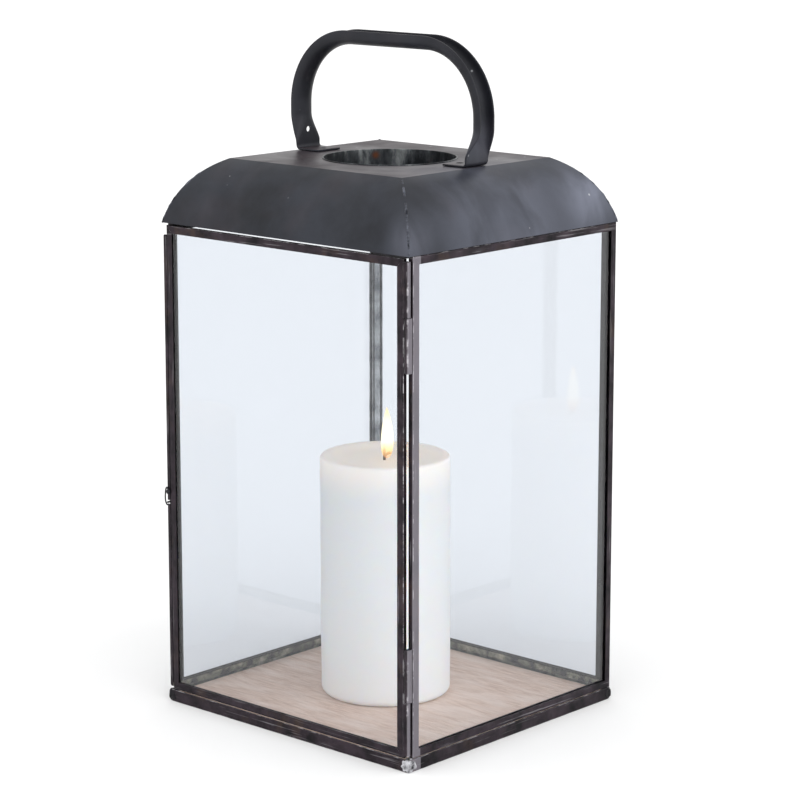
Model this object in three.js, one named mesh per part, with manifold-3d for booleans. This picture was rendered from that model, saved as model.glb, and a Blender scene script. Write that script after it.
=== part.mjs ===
// Candle lantern: a glazed sheet-metal box with a hinged door, a curved hipped roof with a chimney
// hole, a strap handle, a wooden floor board and a pillar candle. Millimetres, +Z up.
// The origin is at the centre of the base, on the surface it stands on. The door faces -Y.
import * as THREE from 'three';
import { mergeVertices } from 'three/addons/utils/BufferGeometryUtils.js';
import Module from 'manifold-3d';

const wasm = await Module();
wasm.setup();

// ---- driving dimensions -------------------------------------------------------------------
const BASE_X = 200; // outside width of the base tray, along the door
const BASE_Y = 187; // outside depth of the base tray
const TRAY_HEIGHT = 7.6;
const SHEET = 0.9; // sheet of the tray and the roof
const BODY_HEIGHT = 290.7; // height of the three fixed panels

const PANEL_SETBACK = 0.6; // fixed panels stand this far inside the edge of the base
const PANEL_THICKNESS = 4; // depth of the fixed panels' glazing channel
const DOOR_SETBACK = 1.1;
const DOOR_THICKNESS = 3;
const CHANNEL_WIDTH = 4.8; // visible face of every glazing channel
const CHANNEL_SHEET = 0.5;
const GLASS_THICKNESS = 1.8;
const GLASS_EDGE_GAP = 0.4; // glass edge to the bottom of its channel

const BOARD_DROP = 1.6; // board's upper face below the tray's rim

const DOOR_BOTTOM_GAP = 0.5; // door above the tray's rim
const DOOR_TOP_GAP = 1.5; // door below the eave
const DOOR_LAP = 1.8; // how far the door laps over the latch-side panel
const LIP_WIDTH = 2.5; // stop lip beyond the door's latch stile
const LIP_THICKNESS = 0.6;
const LIP_OVER_TRAY = 1.8; // lower end of the lip above the tray's rim
const LIP_UNDER_DOOR = 5.8; // upper end of the lip below the top of the door
const LIP_ROUND = 1;
const NOTCH_HALF = 1.2; // half height of the lip's notch for the keeper peg

const PIN_RADIUS = 0.9;
const KNUCKLE_RADIUS = 1.7;
const KNUCKLE_SIDE_INSET = 0.9; // knuckles from the side edge of the base
const KNUCKLE_DOOR_GAP = 0.9; // knuckles from the edge of the door's hinge stile
const LEAF_SHEET = 0.5;
const KNUCKLE_LENGTH = 31.4;
const HINGE_END_INSET = 1.6; // outer knuckles from the ends of the door

const LATCH_HEIGHT = 133; // height of the hook's pivot above the standing surface
const LATCH_DROP = 6.6; // keeper peg below the hook's pivot
const HOOK_WIRE = 0.45; // radius of the hook's wire
const HOOK_REACH = 2.75; // how far the hook bows out from its pivot
const HOOK_EYE_THICKNESS = 0.8;
const HOOK_EYE_WALL = 0.75;
// The hook's wire from its eye to its tip: shares of the bow's reach and of the drop to the tip.
const HOOK_BENDS = [[0.1, -0.13], [0.47, -0.33], [0.84, -0.11], [1, 0.5], [0.82, 0.83]];
const HOOK_TIP_BACK = 0.7; // last bend of the hook before the keeper's middle
const HOOK_TIP_PAST = 0.5; // tip of the hook past the keeper's middle
const HOOK_TIP_SAG = 0.35;
const RIVET_RADIUS = 0.7;
const RIVET_HEAD_RADIUS = 1.3;
const RIVET_HEAD_HEIGHT = 0.5;
const RIVET_HEAD_FLAT = 0.7; // share of the head's radius that is flat
const RIVET_HEAD_RIM = 0.4; // share of the head's height that is rim
const LATCH_IN = 1.35; // hook's pivot from the lip's outer edge
const KEEPER_IN = 0.9; // keeper peg from the lip's outer edge
const KEEPER_RADIUS = 0.6;

const ROOF_RISE = 38.7; // eave to the flat top
const ROOF_RUN_X = 30.8; // eave to flat top, across the two ends
const ROOF_RUN_Y = 27.8; // eave to flat top, across the door side and the back
const ROOF_CURVE = [0.25, 0.73]; // control point of the roof's curve, as shares of run and rise
const PLATE_INSET = 0.75; // edge of the flat top's plate inside the edges of the curved sides
const RIM_WIDTH = 7;
const RIM_GAP = 0.9; // rim from the inside of the roof at the eave
const CHIMNEY_MARGIN = 25.7; // flat top between the chimney hole and its nearest edge
const SLEEVE_WALL = 0.8;
const SLEEVE_DEPTH = 24;
const SLEEVE_PROUD = 0.6;

const HANDLE_HEIGHT = 74.5; // flat top of the roof to the top of the grip
const HANDLE_EDGE = 0.5; // outsides of the feet from the edges of the flat top
const HANDLE_GRIP = 60; // straight stretch at the top
const HANDLE_SHEET = 1.2;
const STRAP_FOOT_WIDTH = 19.6;
const STRAP_BLANK_WIDTH = 23.2; // flat width of the strap along the grip
const STRAP_FIRST_BEND = 1.2; // mid-wall radius where the edges begin to fold
const STRAP_ROLL_RADIUS = 6; // mid-wall radius of the half-round grip
const FOLD_START = 1.6; // height above the feet where the edges begin to fold
const FOLD_END = 22; // height where the strap is fully folded
const FOOT_LENGTH = 18.4;
const FOOT_BEND = 1.8;
const FOOT_HOLE = 4.5;
const FOOT_HOLE_IN = 13.3; // foot hole from the outside of the leg
const LEG_HOLE = 3.6;
const LEG_HOLE_HEIGHT = 12;
const LEG_HOLE_DEPTH = 6; // length of the cutter for the hole in the leg

const CANDLE_DIAMETER = 79;
const CANDLE_HEIGHT = 149;
const CANDLE_PLACE = [-4.2, 0.2];
const CANDLE_BOTTOM_ROUND = 4;
const CANDLE_TOP_ROUND = 2.2;
const POOL_DEPTH = 3.4;
const POOL_RADIUS = 33;
// The melt pool's dish from its edge to its floor: shares of its radius and depth.
const POOL_DISH = [[1, 0.18], [0.8, 0.85], [0.5, 1]];
const WICK_RADIUS = 0.8;
const WICK_SHOW = 4.6; // wick above the melt pool
const WICK_LEAN = [2.2, 1.4]; // how far its tip leans
const WICK_STRAIGHT = 0.7; // share of the showing wick before it leans
const WICK_END = 2; // its lower end above the bottom of the candle

const FIT = 0.3; // soldered or seated pieces keep this gap
const RUN_FIT = 0.2; // turning pieces keep this gap
const MITRE_GAP = 0.12; // at each mitred end
const CUTTER_SPARE = 1; // a cutter reaches this far past what it cuts

// How finely round shapes are drawn.
const ROOF_SEGMENTS = 14;
const HOLE_SEGMENTS = 28;
const LATHE_SEGMENTS = 64;
const STRAP_STEPS = [16, 110]; // across and along
const WICK_STEPS = 60;
const HOOK_STEPS = 36;
const SMALL_SEGMENTS = 5;

// ---- dependent places ---------------------------------------------------------------------
const HALF_X = BASE_X / 2;
const HALF_Y = BASE_Y / 2;
const PANEL_BOTTOM = TRAY_HEIGHT + RUN_FIT;
const PANEL_TOP = PANEL_BOTTOM + BODY_HEIGHT;
const EAVE = PANEL_TOP + FIT;
const ROOF_TOP = EAVE + ROOF_RISE;
const DOOR_FRONT = -HALF_Y + DOOR_SETBACK;
const DOOR_BACK = DOOR_FRONT + DOOR_THICKNESS;
const PANEL_FACE_X = HALF_X - PANEL_SETBACK;
const PANEL_FACE_Y = HALF_Y - PANEL_SETBACK;
const PANEL_INSIDE_X = PANEL_FACE_X - PANEL_THICKNESS;
const AXIS_X = HALF_X - KNUCKLE_RADIUS - KNUCKLE_SIDE_INSET;
const AXIS_Y = -HALF_Y + KNUCKLE_RADIUS;
const KNUCKLE_BACK = AXIS_Y + KNUCKLE_RADIUS + LEAF_SHEET;
const SIDE_FRONT = Math.max(DOOR_BACK, KNUCKLE_BACK) + FIT; // front ends of the two side panels
const DOOR_RIGHT = AXIS_X - KNUCKLE_RADIUS - KNUCKLE_DOOR_GAP;
const DOOR_LEFT = -PANEL_INSIDE_X - DOOR_LAP;
const DOOR_BOTTOM = TRAY_HEIGHT + DOOR_BOTTOM_GAP;
const DOOR_TOP = EAVE - DOOR_TOP_GAP;
const LIP_LEFT = DOOR_LEFT - LIP_WIDTH;
const LIP_BOTTOM = TRAY_HEIGHT + LIP_OVER_TRAY;
const LIP_TOP = DOOR_TOP - LIP_UNDER_DOOR;
const LATCH_X = LIP_LEFT + LATCH_IN;
const KEEPER_X = LIP_LEFT + KEEPER_IN;
const KEEPER_Z = LATCH_HEIGHT - LATCH_DROP;
const HOOK_BACK = DOOR_FRONT - RUN_FIT;
const BOARD_TOP = TRAY_HEIGHT - BOARD_DROP;
const TOP_HALF_X = HALF_X - ROOF_RUN_X; // flat top
const TOP_HALF_Y = HALF_Y - ROOF_RUN_Y;
const CHIMNEY_HOLE = 2 * (Math.min(TOP_HALF_X, TOP_HALF_Y) - CHIMNEY_MARGIN);
const HANDLE_BASE = ROOF_TOP + RUN_FIT; // underside of the feet
const HANDLE_FOOT_SPAN = 2 * (TOP_HALF_X - HANDLE_EDGE);
const STRAP_FLANGE = (STRAP_BLANK_WIDTH - STRAP_ROLL_RADIUS * Math.PI) / 2; // straight past the round
const STRAP_DEPTH = HANDLE_SHEET / 2 + STRAP_ROLL_RADIUS + STRAP_FLANGE;

// ---- colours and finishes -----------------------------------------------------------------
const finish = (color, roughness, metalness, more = {}) =>
  () => new THREE.MeshStandardMaterial({ color, roughness, metalness, ...more });
const blackSteel = finish(0x3a3b41, 0.42, 0.8);
const blackZinc = finish(0x2c2a2c, 0.45, 0.8);
const bareZinc = finish(0x9a9c98, 0.4, 0.9);
const clearGlass = finish(0xe4ebf2, 0.04, 0, { transparent: true, opacity: 0.25 });
const whitewashedWood = finish(0xc9ab93, 0.75, 0);
const ivoryWax = finish(0xf4f1ea, 0.5, 0);
const charredCotton = finish(0x3b2c20, 0.9, 0);

// ---- helpers ------------------------------------------------------------------------------
const part = new THREE.Group();

function addMesh(parent, name, geometry, material) {
  const mesh = new THREE.Mesh(geometry, material());
  mesh.name = name;
  parent.add(mesh);
  return mesh;
}

function weld(geometry) {
  const bare = geometry.index ? geometry.toNonIndexed() : geometry.clone();
  bare.deleteAttribute('normal');
  bare.deleteAttribute('uv');
  return mergeVertices(bare, 1e-4);
}

function toSolid(geometry) {
  const welded = weld(geometry);
  return new wasm.Manifold(new wasm.Mesh({
    numProp: 3,
    vertProperties: new Float32Array(welded.attributes.position.array),
    triVerts: new Uint32Array(welded.index.array),
  }));
}

function toGeometry(solid) {
  const mesh = solid.getMesh();
  const geometry = new THREE.BufferGeometry();
  geometry.setAttribute('position', new THREE.BufferAttribute(mesh.vertProperties, 3));
  geometry.setIndex(new THREE.BufferAttribute(mesh.triVerts, 1));
  return geometry;
}

function union(...geometries) {
  const solids = geometries.map(toSolid);
  return toGeometry(solids.reduce((whole, next) => whole.add(next)));
}

function cut(geometry, ...tools) {
  return toGeometry(tools.map(toSolid).reduce((whole, tool) => whole.subtract(tool), toSolid(geometry)));
}

function box(x0, x1, y0, y1, z0, z1) {
  const geometry = new THREE.BoxGeometry(x1 - x0, y1 - y0, z1 - z0);
  return geometry.translate((x0 + x1) / 2, (y0 + y1) / 2, (z0 + z1) / 2);
}

// A cylinder along Z from z0 to z1.
function postZ(radius, x, y, z0, z1, sides = 24) {
  const geometry = new THREE.CylinderGeometry(radius, radius, z1 - z0, sides);
  return geometry.rotateX(Math.PI / 2).translate(x, y, (z0 + z1) / 2);
}

// A prism of a flat outline in X and Z, from y0 to y1.
function plateXZ(shape, y0, y1, curveSegments = 12) {
  const geometry = new THREE.ExtrudeGeometry(shape, { depth: y1 - y0, bevelEnabled: false, curveSegments });
  return geometry.rotateX(Math.PI / 2).translate(0, y1, 0);
}

function rectangle(halfX, halfY) {
  const shape = new THREE.Shape();
  shape.moveTo(-halfX, -halfY).lineTo(halfX, -halfY).lineTo(halfX, halfY).lineTo(-halfX, halfY);
  return shape.closePath();
}

// ---- base tray and floor board ------------------------------------------------------------
function buildBase() {
  const inside = box(
    -HALF_X + SHEET, HALF_X - SHEET, -HALF_Y + SHEET, HALF_Y - SHEET, SHEET, TRAY_HEIGHT + SHEET,
  );
  addMesh(part, 'base_tray', cut(box(-HALF_X, HALF_X, -HALF_Y, HALF_Y, 0, TRAY_HEIGHT), inside), blackZinc);
  const edge = SHEET + FIT;
  addMesh(part, 'floor_board', box(
    -HALF_X + edge, HALF_X - edge, -HALF_Y + edge, HALF_Y - edge, edge, BOARD_TOP,
  ), whitewashedWood);
}

// ---- glazed panels ------------------------------------------------------------------------
// A panel stands in the XZ plane with its outer face at y = 0 facing -Y, centred on x = 0.
// Each side is a folded channel that holds the glass, mitred at both ends.
function channel(length, thickness) {
  const s = CHANNEL_SHEET;
  const w = CHANNEL_WIDTH;
  const section = new THREE.Shape();
  section.moveTo(0, 0).lineTo(w, 0).lineTo(w, s).lineTo(s, s);
  section.lineTo(s, thickness - s).lineTo(w, thickness - s).lineTo(w, thickness).lineTo(0, thickness);
  const geometry = new THREE.ExtrudeGeometry(section.closePath(), { depth: length, bevelEnabled: false });
  const place = geometry.attributes.position;
  for (let i = 0; i < place.count; i += 1) {
    const inset = place.getX(i) + MITRE_GAP;
    place.setZ(i, place.getZ(i) > length / 2 ? length - inset : inset);
  }
  return geometry;
}

function addChannel(panel, name, length, thickness, corner, inward, along) {
  const mesh = addMesh(panel, name, channel(length, thickness), blackZinc);
  const basis = new THREE.Matrix4().makeBasis(inward, new THREE.Vector3(0, 1, 0), along);
  mesh.quaternion.setFromRotationMatrix(basis);
  mesh.position.copy(corner);
}

function buildPanel(prefix, width, height, thickness, stileNames) {
  const panel = new THREE.Group();
  const half = width / 2;
  const right = new THREE.Vector3(1, 0, 0);
  const up = new THREE.Vector3(0, 0, 1);
  const left = right.clone().negate();
  const down = up.clone().negate();
  const at = (x, z) => new THREE.Vector3(x, 0, z);
  addChannel(panel, `${prefix}_bottom_rail`, width, thickness, at(half, 0), up, left);
  addChannel(panel, `${prefix}_top_rail`, width, thickness, at(-half, height), down, right);
  addChannel(panel, `${prefix}_${stileNames[0]}`, height, thickness, at(-half, 0), right, up);
  addChannel(panel, `${prefix}_${stileNames[1]}`, height, thickness, at(half, height), left, down);
  const inset = CHANNEL_SHEET + GLASS_EDGE_GAP;
  const front = (thickness - GLASS_THICKNESS) / 2;
  addMesh(panel, `${prefix}_glass`, box(
    -half + inset, half - inset, front, front + GLASS_THICKNESS, inset, height - inset,
  ), clearGlass);
  part.add(panel);
  return panel;
}

function buildFixedPanels() {
  const sideWidth = PANEL_FACE_Y - SIDE_FRONT;
  const sideMiddle = (PANEL_FACE_Y + SIDE_FRONT) / 2;
  const right = buildPanel('right', sideWidth, BODY_HEIGHT, PANEL_THICKNESS, ['front_stile', 'back_stile']);
  right.rotation.z = Math.PI / 2;
  right.position.set(PANEL_FACE_X, sideMiddle, PANEL_BOTTOM);
  const left = buildPanel('left', sideWidth, BODY_HEIGHT, PANEL_THICKNESS, ['back_stile', 'front_stile']);
  left.rotation.z = -Math.PI / 2;
  left.position.set(-PANEL_FACE_X, sideMiddle, PANEL_BOTTOM);
  const backWidth = 2 * (PANEL_INSIDE_X - FIT);
  const back = buildPanel('back', backWidth, BODY_HEIGHT, PANEL_THICKNESS, ['right_stile', 'left_stile']);
  back.rotation.z = Math.PI;
  back.position.set(0, PANEL_FACE_Y, PANEL_BOTTOM);
}

// ---- door ---------------------------------------------------------------------------------
function buildDoor() {
  const width = DOOR_RIGHT - DOOR_LEFT;
  const height = DOOR_TOP - DOOR_BOTTOM;
  const door = buildPanel('door', width, height, DOOR_THICKNESS, ['latch_stile', 'hinge_stile']);
  door.position.set((DOOR_RIGHT + DOOR_LEFT) / 2, DOOR_FRONT, DOOR_BOTTOM);
}

// The lip stops the door against the latch-side panel. It has a hole for the hook's rivet and an
// open notch where the keeper peg comes through.
function buildLip() {
  const right = DOOR_LEFT - MITRE_GAP;
  const round = LIP_LEFT + LIP_ROUND;
  const notchEnd = KEEPER_X + NOTCH_HALF;
  const lip = new THREE.Shape();
  lip.moveTo(right, LIP_BOTTOM).lineTo(right, LIP_TOP).lineTo(round, LIP_TOP);
  lip.absarc(round, LIP_TOP - LIP_ROUND, LIP_ROUND, Math.PI / 2, Math.PI, false);
  lip.lineTo(LIP_LEFT, KEEPER_Z + NOTCH_HALF).lineTo(notchEnd, KEEPER_Z + NOTCH_HALF);
  lip.lineTo(notchEnd, KEEPER_Z - NOTCH_HALF).lineTo(LIP_LEFT, KEEPER_Z - NOTCH_HALF);
  lip.lineTo(LIP_LEFT, LIP_BOTTOM + LIP_ROUND);
  lip.absarc(round, LIP_BOTTOM + LIP_ROUND, LIP_ROUND, Math.PI, 1.5 * Math.PI, false);
  const hole = new THREE.Path();
  hole.absarc(LATCH_X, LATCH_HEIGHT, RIVET_RADIUS + RUN_FIT, 0, 2 * Math.PI, true);
  lip.holes.push(hole);
  const sheet = plateXZ(lip, DOOR_FRONT, DOOR_FRONT + LIP_THICKNESS, SMALL_SEGMENTS);
  addMesh(part, 'door_stop_lip', sheet, blackZinc);
}

// ---- hinges -------------------------------------------------------------------------------
// Each hinge is two rolled sheet knuckles on one pin: the outer one on the door, the inner one on
// the right panel.
function barrel(z0, z1, ...leaves) {
  const rolled = union(postZ(KNUCKLE_RADIUS, AXIS_X, AXIS_Y, z0, z1), ...leaves);
  return cut(rolled, postZ(
    PIN_RADIUS + RUN_FIT, AXIS_X, AXIS_Y, z0 - CUTTER_SPARE, z1 + CUTTER_SPARE,
  ));
}

function doorKnuckle(z0, z1) {
  const plateX = DOOR_RIGHT + FIT;
  const front = AXIS_Y - KNUCKLE_RADIUS;
  return barrel(
    z0, z1,
    box(plateX, plateX + LEAF_SHEET, front, DOOR_BACK - FIT, z0, z1),
    box(plateX, AXIS_X, front, front + LEAF_SHEET, z0, z1),
  );
}

function frameKnuckle(z0, z1) {
  const plateY = SIDE_FRONT - FIT;
  const side = AXIS_X + KNUCKLE_RADIUS;
  return barrel(
    z0, z1,
    box(PANEL_INSIDE_X + FIT, side, plateY - LEAF_SHEET, plateY, z0, z1),
    box(side - LEAF_SHEET, side, AXIS_Y, plateY, z0, z1),
  );
}

function buildHinge(prefix, outerEnd, towards) {
  const joint = outerEnd + towards * KNUCKLE_LENGTH;
  const innerStart = joint + towards * FIT;
  const innerEnd = innerStart + towards * KNUCKLE_LENGTH;
  const span = (a, b) => [Math.min(a, b), Math.max(a, b)];
  addMesh(part, `${prefix}_hinge_door_knuckle`, doorKnuckle(...span(outerEnd, joint)), blackZinc);
  addMesh(part, `${prefix}_hinge_frame_knuckle`, frameKnuckle(...span(innerStart, innerEnd)), blackZinc);
  const [low, high] = span(outerEnd, innerEnd);
  addMesh(part, `${prefix}_hinge_pin`, postZ(
    PIN_RADIUS, AXIS_X, AXIS_Y, low - RUN_FIT, high + RUN_FIT, 16,
  ), blackSteel);
}

// ---- latch --------------------------------------------------------------------------------
// A wire hook turns on a rivet in the door's lip and catches under a peg on the left panel.
function buildHook() {
  const wireY = HOOK_BACK - HOOK_WIRE;
  const tipZ = KEEPER_Z - KEEPER_RADIUS - RUN_FIT - HOOK_WIRE;
  const drop = LATCH_HEIGHT - tipZ;
  const at = (x, z) => new THREE.Vector3(x, wireY, z);
  const points = [
    ...HOOK_BENDS.map(([out, down]) => at(LATCH_X - HOOK_REACH * out, LATCH_HEIGHT - drop * down)),
    at(KEEPER_X - HOOK_TIP_BACK, tipZ - HOOK_TIP_SAG),
    at(KEEPER_X + HOOK_TIP_PAST, tipZ),
  ];
  const ring = new THREE.Shape().absarc(0, 0, HOOK_WIRE, 0, 2 * Math.PI, false);
  const wire = new THREE.ExtrudeGeometry(ring, {
    steps: HOOK_STEPS,
    curveSegments: SMALL_SEGMENTS,
    bevelEnabled: false,
    extrudePath: new THREE.CatmullRomCurve3(points),
  });
  const eye = new THREE.Shape();
  eye.absarc(LATCH_X, LATCH_HEIGHT, RIVET_RADIUS + RUN_FIT + HOOK_EYE_WALL, 0, 2 * Math.PI, false);
  const bore = new THREE.Path();
  bore.absarc(LATCH_X, LATCH_HEIGHT, RIVET_RADIUS + RUN_FIT, 0, 2 * Math.PI, true);
  eye.holes.push(bore);
  const eyePlate = plateXZ(eye, HOOK_BACK - HOOK_EYE_THICKNESS, HOOK_BACK);
  addMesh(part, 'latch_hook', union(wire, eyePlate), blackSteel);
}

function buildRivetAndKeeper() {
  const headBack = HOOK_BACK - HOOK_EYE_THICKNESS - RUN_FIT;
  const headFront = headBack - RIVET_HEAD_HEIGHT;
  const tail = DOOR_FRONT + LIP_THICKNESS;
  const rivet = [
    [0, headFront],
    [RIVET_HEAD_RADIUS * RIVET_HEAD_FLAT, headFront],
    [RIVET_HEAD_RADIUS, headBack - RIVET_HEAD_HEIGHT * RIVET_HEAD_RIM],
    [RIVET_HEAD_RADIUS, headBack],
    [RIVET_RADIUS, headBack],
    [RIVET_RADIUS, tail],
    [0, tail],
  ].map(([radius, y]) => new THREE.Vector2(radius, y));
  const rivetMesh = addMesh(part, 'latch_rivet', new THREE.LatheGeometry(rivet, 16), blackSteel);
  rivetMesh.position.set(LATCH_X, 0, LATCH_HEIGHT);
  const keeperFront = HOOK_BACK - 2 * HOOK_WIRE;
  const keeperEnd = SIDE_FRONT - FIT;
  const keeper = new THREE.CylinderGeometry(KEEPER_RADIUS, KEEPER_RADIUS, keeperEnd - keeperFront, 12);
  const keeperMesh = addMesh(part, 'latch_keeper_peg', keeper, blackSteel);
  keeperMesh.position.set(KEEPER_X, (keeperFront + keeperEnd) / 2, KEEPER_Z);
}

// ---- roof ---------------------------------------------------------------------------------
// The curve of one roof side, from the eave up to the flat top: x runs inwards, y is height.
function roofProfile(run) {
  const curve = new THREE.QuadraticBezierCurve(
    new THREE.Vector2(0, 0),
    new THREE.Vector2(run * ROOF_CURVE[0], ROOF_RISE * ROOF_CURVE[1]),
    new THREE.Vector2(run, ROOF_RISE),
  );
  const outer = [];
  const inner = [];
  for (let i = 0; i <= ROOF_SEGMENTS; i += 1) {
    const point = curve.getPoint(i / ROOF_SEGMENTS);
    const slope = curve.getTangent(i / ROOF_SEGMENTS);
    outer.push(point);
    inner.push(new THREE.Vector2(point.x + slope.y * SHEET, point.y - slope.x * SHEET));
  }
  inner[0].y = 0; // the lower edge is cut level
  return new THREE.Shape([...outer, ...inner.reverse()]);
}

// One curved side: its profile runs along the eave and both ends are mitred on the hips.
function roofSide(run, otherRun, halfEave) {
  const geometry = new THREE.ExtrudeGeometry(roofProfile(run), { depth: 1, bevelEnabled: false });
  const place = geometry.attributes.position;
  for (let i = 0; i < place.count; i += 1) {
    const half = halfEave - place.getX(i) * otherRun / run - MITRE_GAP;
    place.setZ(i, place.getZ(i) > 0.5 ? half : -half);
  }
  // Profile x to inwards (+Y), profile y to up, depth along X.
  return geometry.applyMatrix4(new THREE.Matrix4().makeBasis(
    new THREE.Vector3(0, 1, 0), new THREE.Vector3(0, 0, 1), new THREE.Vector3(1, 0, 0),
  ));
}

function buildRoof() {
  const sides = [
    ['roof_front', 0, HALF_Y, HALF_X, ROOF_RUN_Y, ROOF_RUN_X],
    ['roof_right', Math.PI / 2, HALF_X, HALF_Y, ROOF_RUN_X, ROOF_RUN_Y],
    ['roof_back', Math.PI, HALF_Y, HALF_X, ROOF_RUN_Y, ROOF_RUN_X],
    ['roof_left', -Math.PI / 2, HALF_X, HALF_Y, ROOF_RUN_X, ROOF_RUN_Y],
  ];
  for (const [name, turn, out, halfEave, run, otherRun] of sides) {
    const arm = new THREE.Group();
    const mesh = addMesh(arm, name, roofSide(run, otherRun, halfEave), blackSteel);
    mesh.position.set(0, -out, EAVE);
    arm.rotation.z = turn;
    part.add(arm);
  }
  const flat = rectangle(TOP_HALF_X - PLATE_INSET, TOP_HALF_Y - PLATE_INSET);
  const hole = new THREE.Path();
  hole.absarc(0, 0, CHIMNEY_HOLE / 2, 0, 2 * Math.PI, true);
  flat.holes.push(hole);
  const plate = new THREE.ExtrudeGeometry(flat, {
    depth: SHEET, bevelEnabled: false, curveSegments: HOLE_SEGMENTS,
  });
  addMesh(part, 'roof_top_plate', plate, blackSteel).position.z = ROOF_TOP - SHEET;
}

// A flat ring inside the eave is what the three fixed panels are soldered to.
function buildRim() {
  const edge = SHEET + RIM_GAP;
  const ring = rectangle(HALF_X - edge, HALF_Y - edge);
  const inside = rectangle(HALF_X - edge - RIM_WIDTH, HALF_Y - edge - RIM_WIDTH);
  ring.holes.push(new THREE.Path(inside.getPoints()));
  const geometry = new THREE.ExtrudeGeometry(ring, { depth: SHEET, bevelEnabled: false });
  addMesh(part, 'roof_rim', geometry, blackZinc).position.z = EAVE;
}

function buildSleeve() {
  const outer = CHIMNEY_HOLE / 2 - FIT;
  const inner = outer - SLEEVE_WALL;
  const top = ROOF_TOP + SLEEVE_PROUD;
  const bottom = top - SLEEVE_DEPTH;
  const profile = [[inner, bottom], [outer, bottom], [outer, top], [inner, top], [inner, bottom]];
  const points = profile.map(([r, z]) => new THREE.Vector2(r, z));
  const lathe = new THREE.LatheGeometry(points, LATHE_SEGMENTS);
  addMesh(part, 'chimney_sleeve', lathe.rotateX(Math.PI / 2), bareZinc);
}

// ---- handle -------------------------------------------------------------------------------
// The line that the middle of the strap's web follows, in x and z, from one foot to the other.
function handleLine() {
  const wall = HANDLE_SHEET / 2;
  const webX = HANDLE_FOOT_SPAN / 2 - wall;
  const footZ = HANDLE_BASE + wall;
  const topZ = ROOF_TOP + HANDLE_HEIGHT - STRAP_DEPTH + wall;
  const bend = FOOT_BEND + wall;
  const corner = webX - HANDLE_GRIP / 2;
  const shoulderZ = topZ - corner;
  const toe = webX + wall - FOOT_LENGTH;
  const line = new THREE.Path();
  line.moveTo(-toe, footZ).lineTo(-webX + bend, footZ);
  line.absarc(-webX + bend, footZ + bend, bend, 1.5 * Math.PI, Math.PI, true);
  line.lineTo(-webX, shoulderZ);
  line.absarc(-HANDLE_GRIP / 2, shoulderZ, corner, Math.PI, Math.PI / 2, true);
  line.lineTo(HANDLE_GRIP / 2, topZ);
  line.absarc(HANDLE_GRIP / 2, shoulderZ, corner, Math.PI / 2, 0, true);
  line.lineTo(webX, footZ + bend);
  line.absarc(webX - bend, footZ + bend, bend, 0, -Math.PI / 2, true);
  line.lineTo(toe, footZ);
  return line;
}

// A point of the strap's section. across is the distance from the strap's middle along the sheet
// and depth the distance out from the middle of its wall. Both edges fold outwards as fold goes
// from 0, flat, to 1, half round. Returns [sideways, outwards].
function sectionPoint(across, depth, fold) {
  const web = THREE.MathUtils.lerp(STRAP_FOOT_WIDTH / 2, 0, fold);
  const radius = THREE.MathUtils.lerp(STRAP_FIRST_BEND, STRAP_ROLL_RADIUS, fold);
  const reach = Math.abs(across);
  const past = Math.max(reach - web, 0);
  const bent = Math.min(past, radius * Math.PI / 2);
  const flange = past - bent;
  const sine = Math.sin(bent / radius);
  const cosine = Math.cos(bent / radius);
  const sideways = Math.min(reach, web) + (radius - depth) * sine + flange * cosine;
  const outwards = radius - (radius - depth) * cosine + flange * sine;
  return [Math.sign(across) * sideways, outwards];
}

// The flat blank is bent along the line and its edges are folded outwards.
function bendStrap() {
  const line = handleLine();
  line.arcLengthDivisions = 600;
  const strap = new THREE.BoxGeometry(1, 1, HANDLE_SHEET, STRAP_STEPS[0], STRAP_STEPS[1], 1);
  const place = strap.attributes.position;
  for (let i = 0; i < place.count; i += 1) {
    const along = place.getY(i) + 0.5;
    const middle = line.getPointAt(along);
    const forward = line.getTangentAt(along);
    const fold = THREE.MathUtils.smoothstep(middle.y - HANDLE_BASE, FOLD_START, FOLD_END);
    const width = THREE.MathUtils.lerp(STRAP_FOOT_WIDTH, STRAP_BLANK_WIDTH, fold);
    const [sideways, outwards] = sectionPoint(place.getX(i) * width, place.getZ(i), fold);
    place.setXYZ(i, middle.x - forward.y * outwards, -sideways, middle.y + forward.x * outwards);
  }
  return strap;
}

function buildHandle() {
  const holeX = HANDLE_FOOT_SPAN / 2 - FOOT_HOLE_IN;
  const footHoles = [-holeX, holeX].map((x) => postZ(
    FOOT_HOLE / 2, x, 0, HANDLE_BASE - CUTTER_SPARE, HANDLE_BASE + HANDLE_SHEET + CUTTER_SPARE,
  ));
  const legHole = new THREE.CylinderGeometry(LEG_HOLE / 2, LEG_HOLE / 2, LEG_HOLE_DEPTH, 20);
  legHole.rotateZ(Math.PI / 2);
  legHole.translate(-HANDLE_FOOT_SPAN / 2, 0, HANDLE_BASE + LEG_HOLE_HEIGHT);
  addMesh(part, 'handle_strap', cut(bendStrap(), ...footHoles, legHole), blackSteel);
}

// ---- candle -------------------------------------------------------------------------------
function arcPoints(x, y, radius, from, to, steps) {
  const curve = new THREE.EllipseCurve(x, y, radius, radius, from, to, to < from);
  return curve.getPoints(steps);
}

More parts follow.
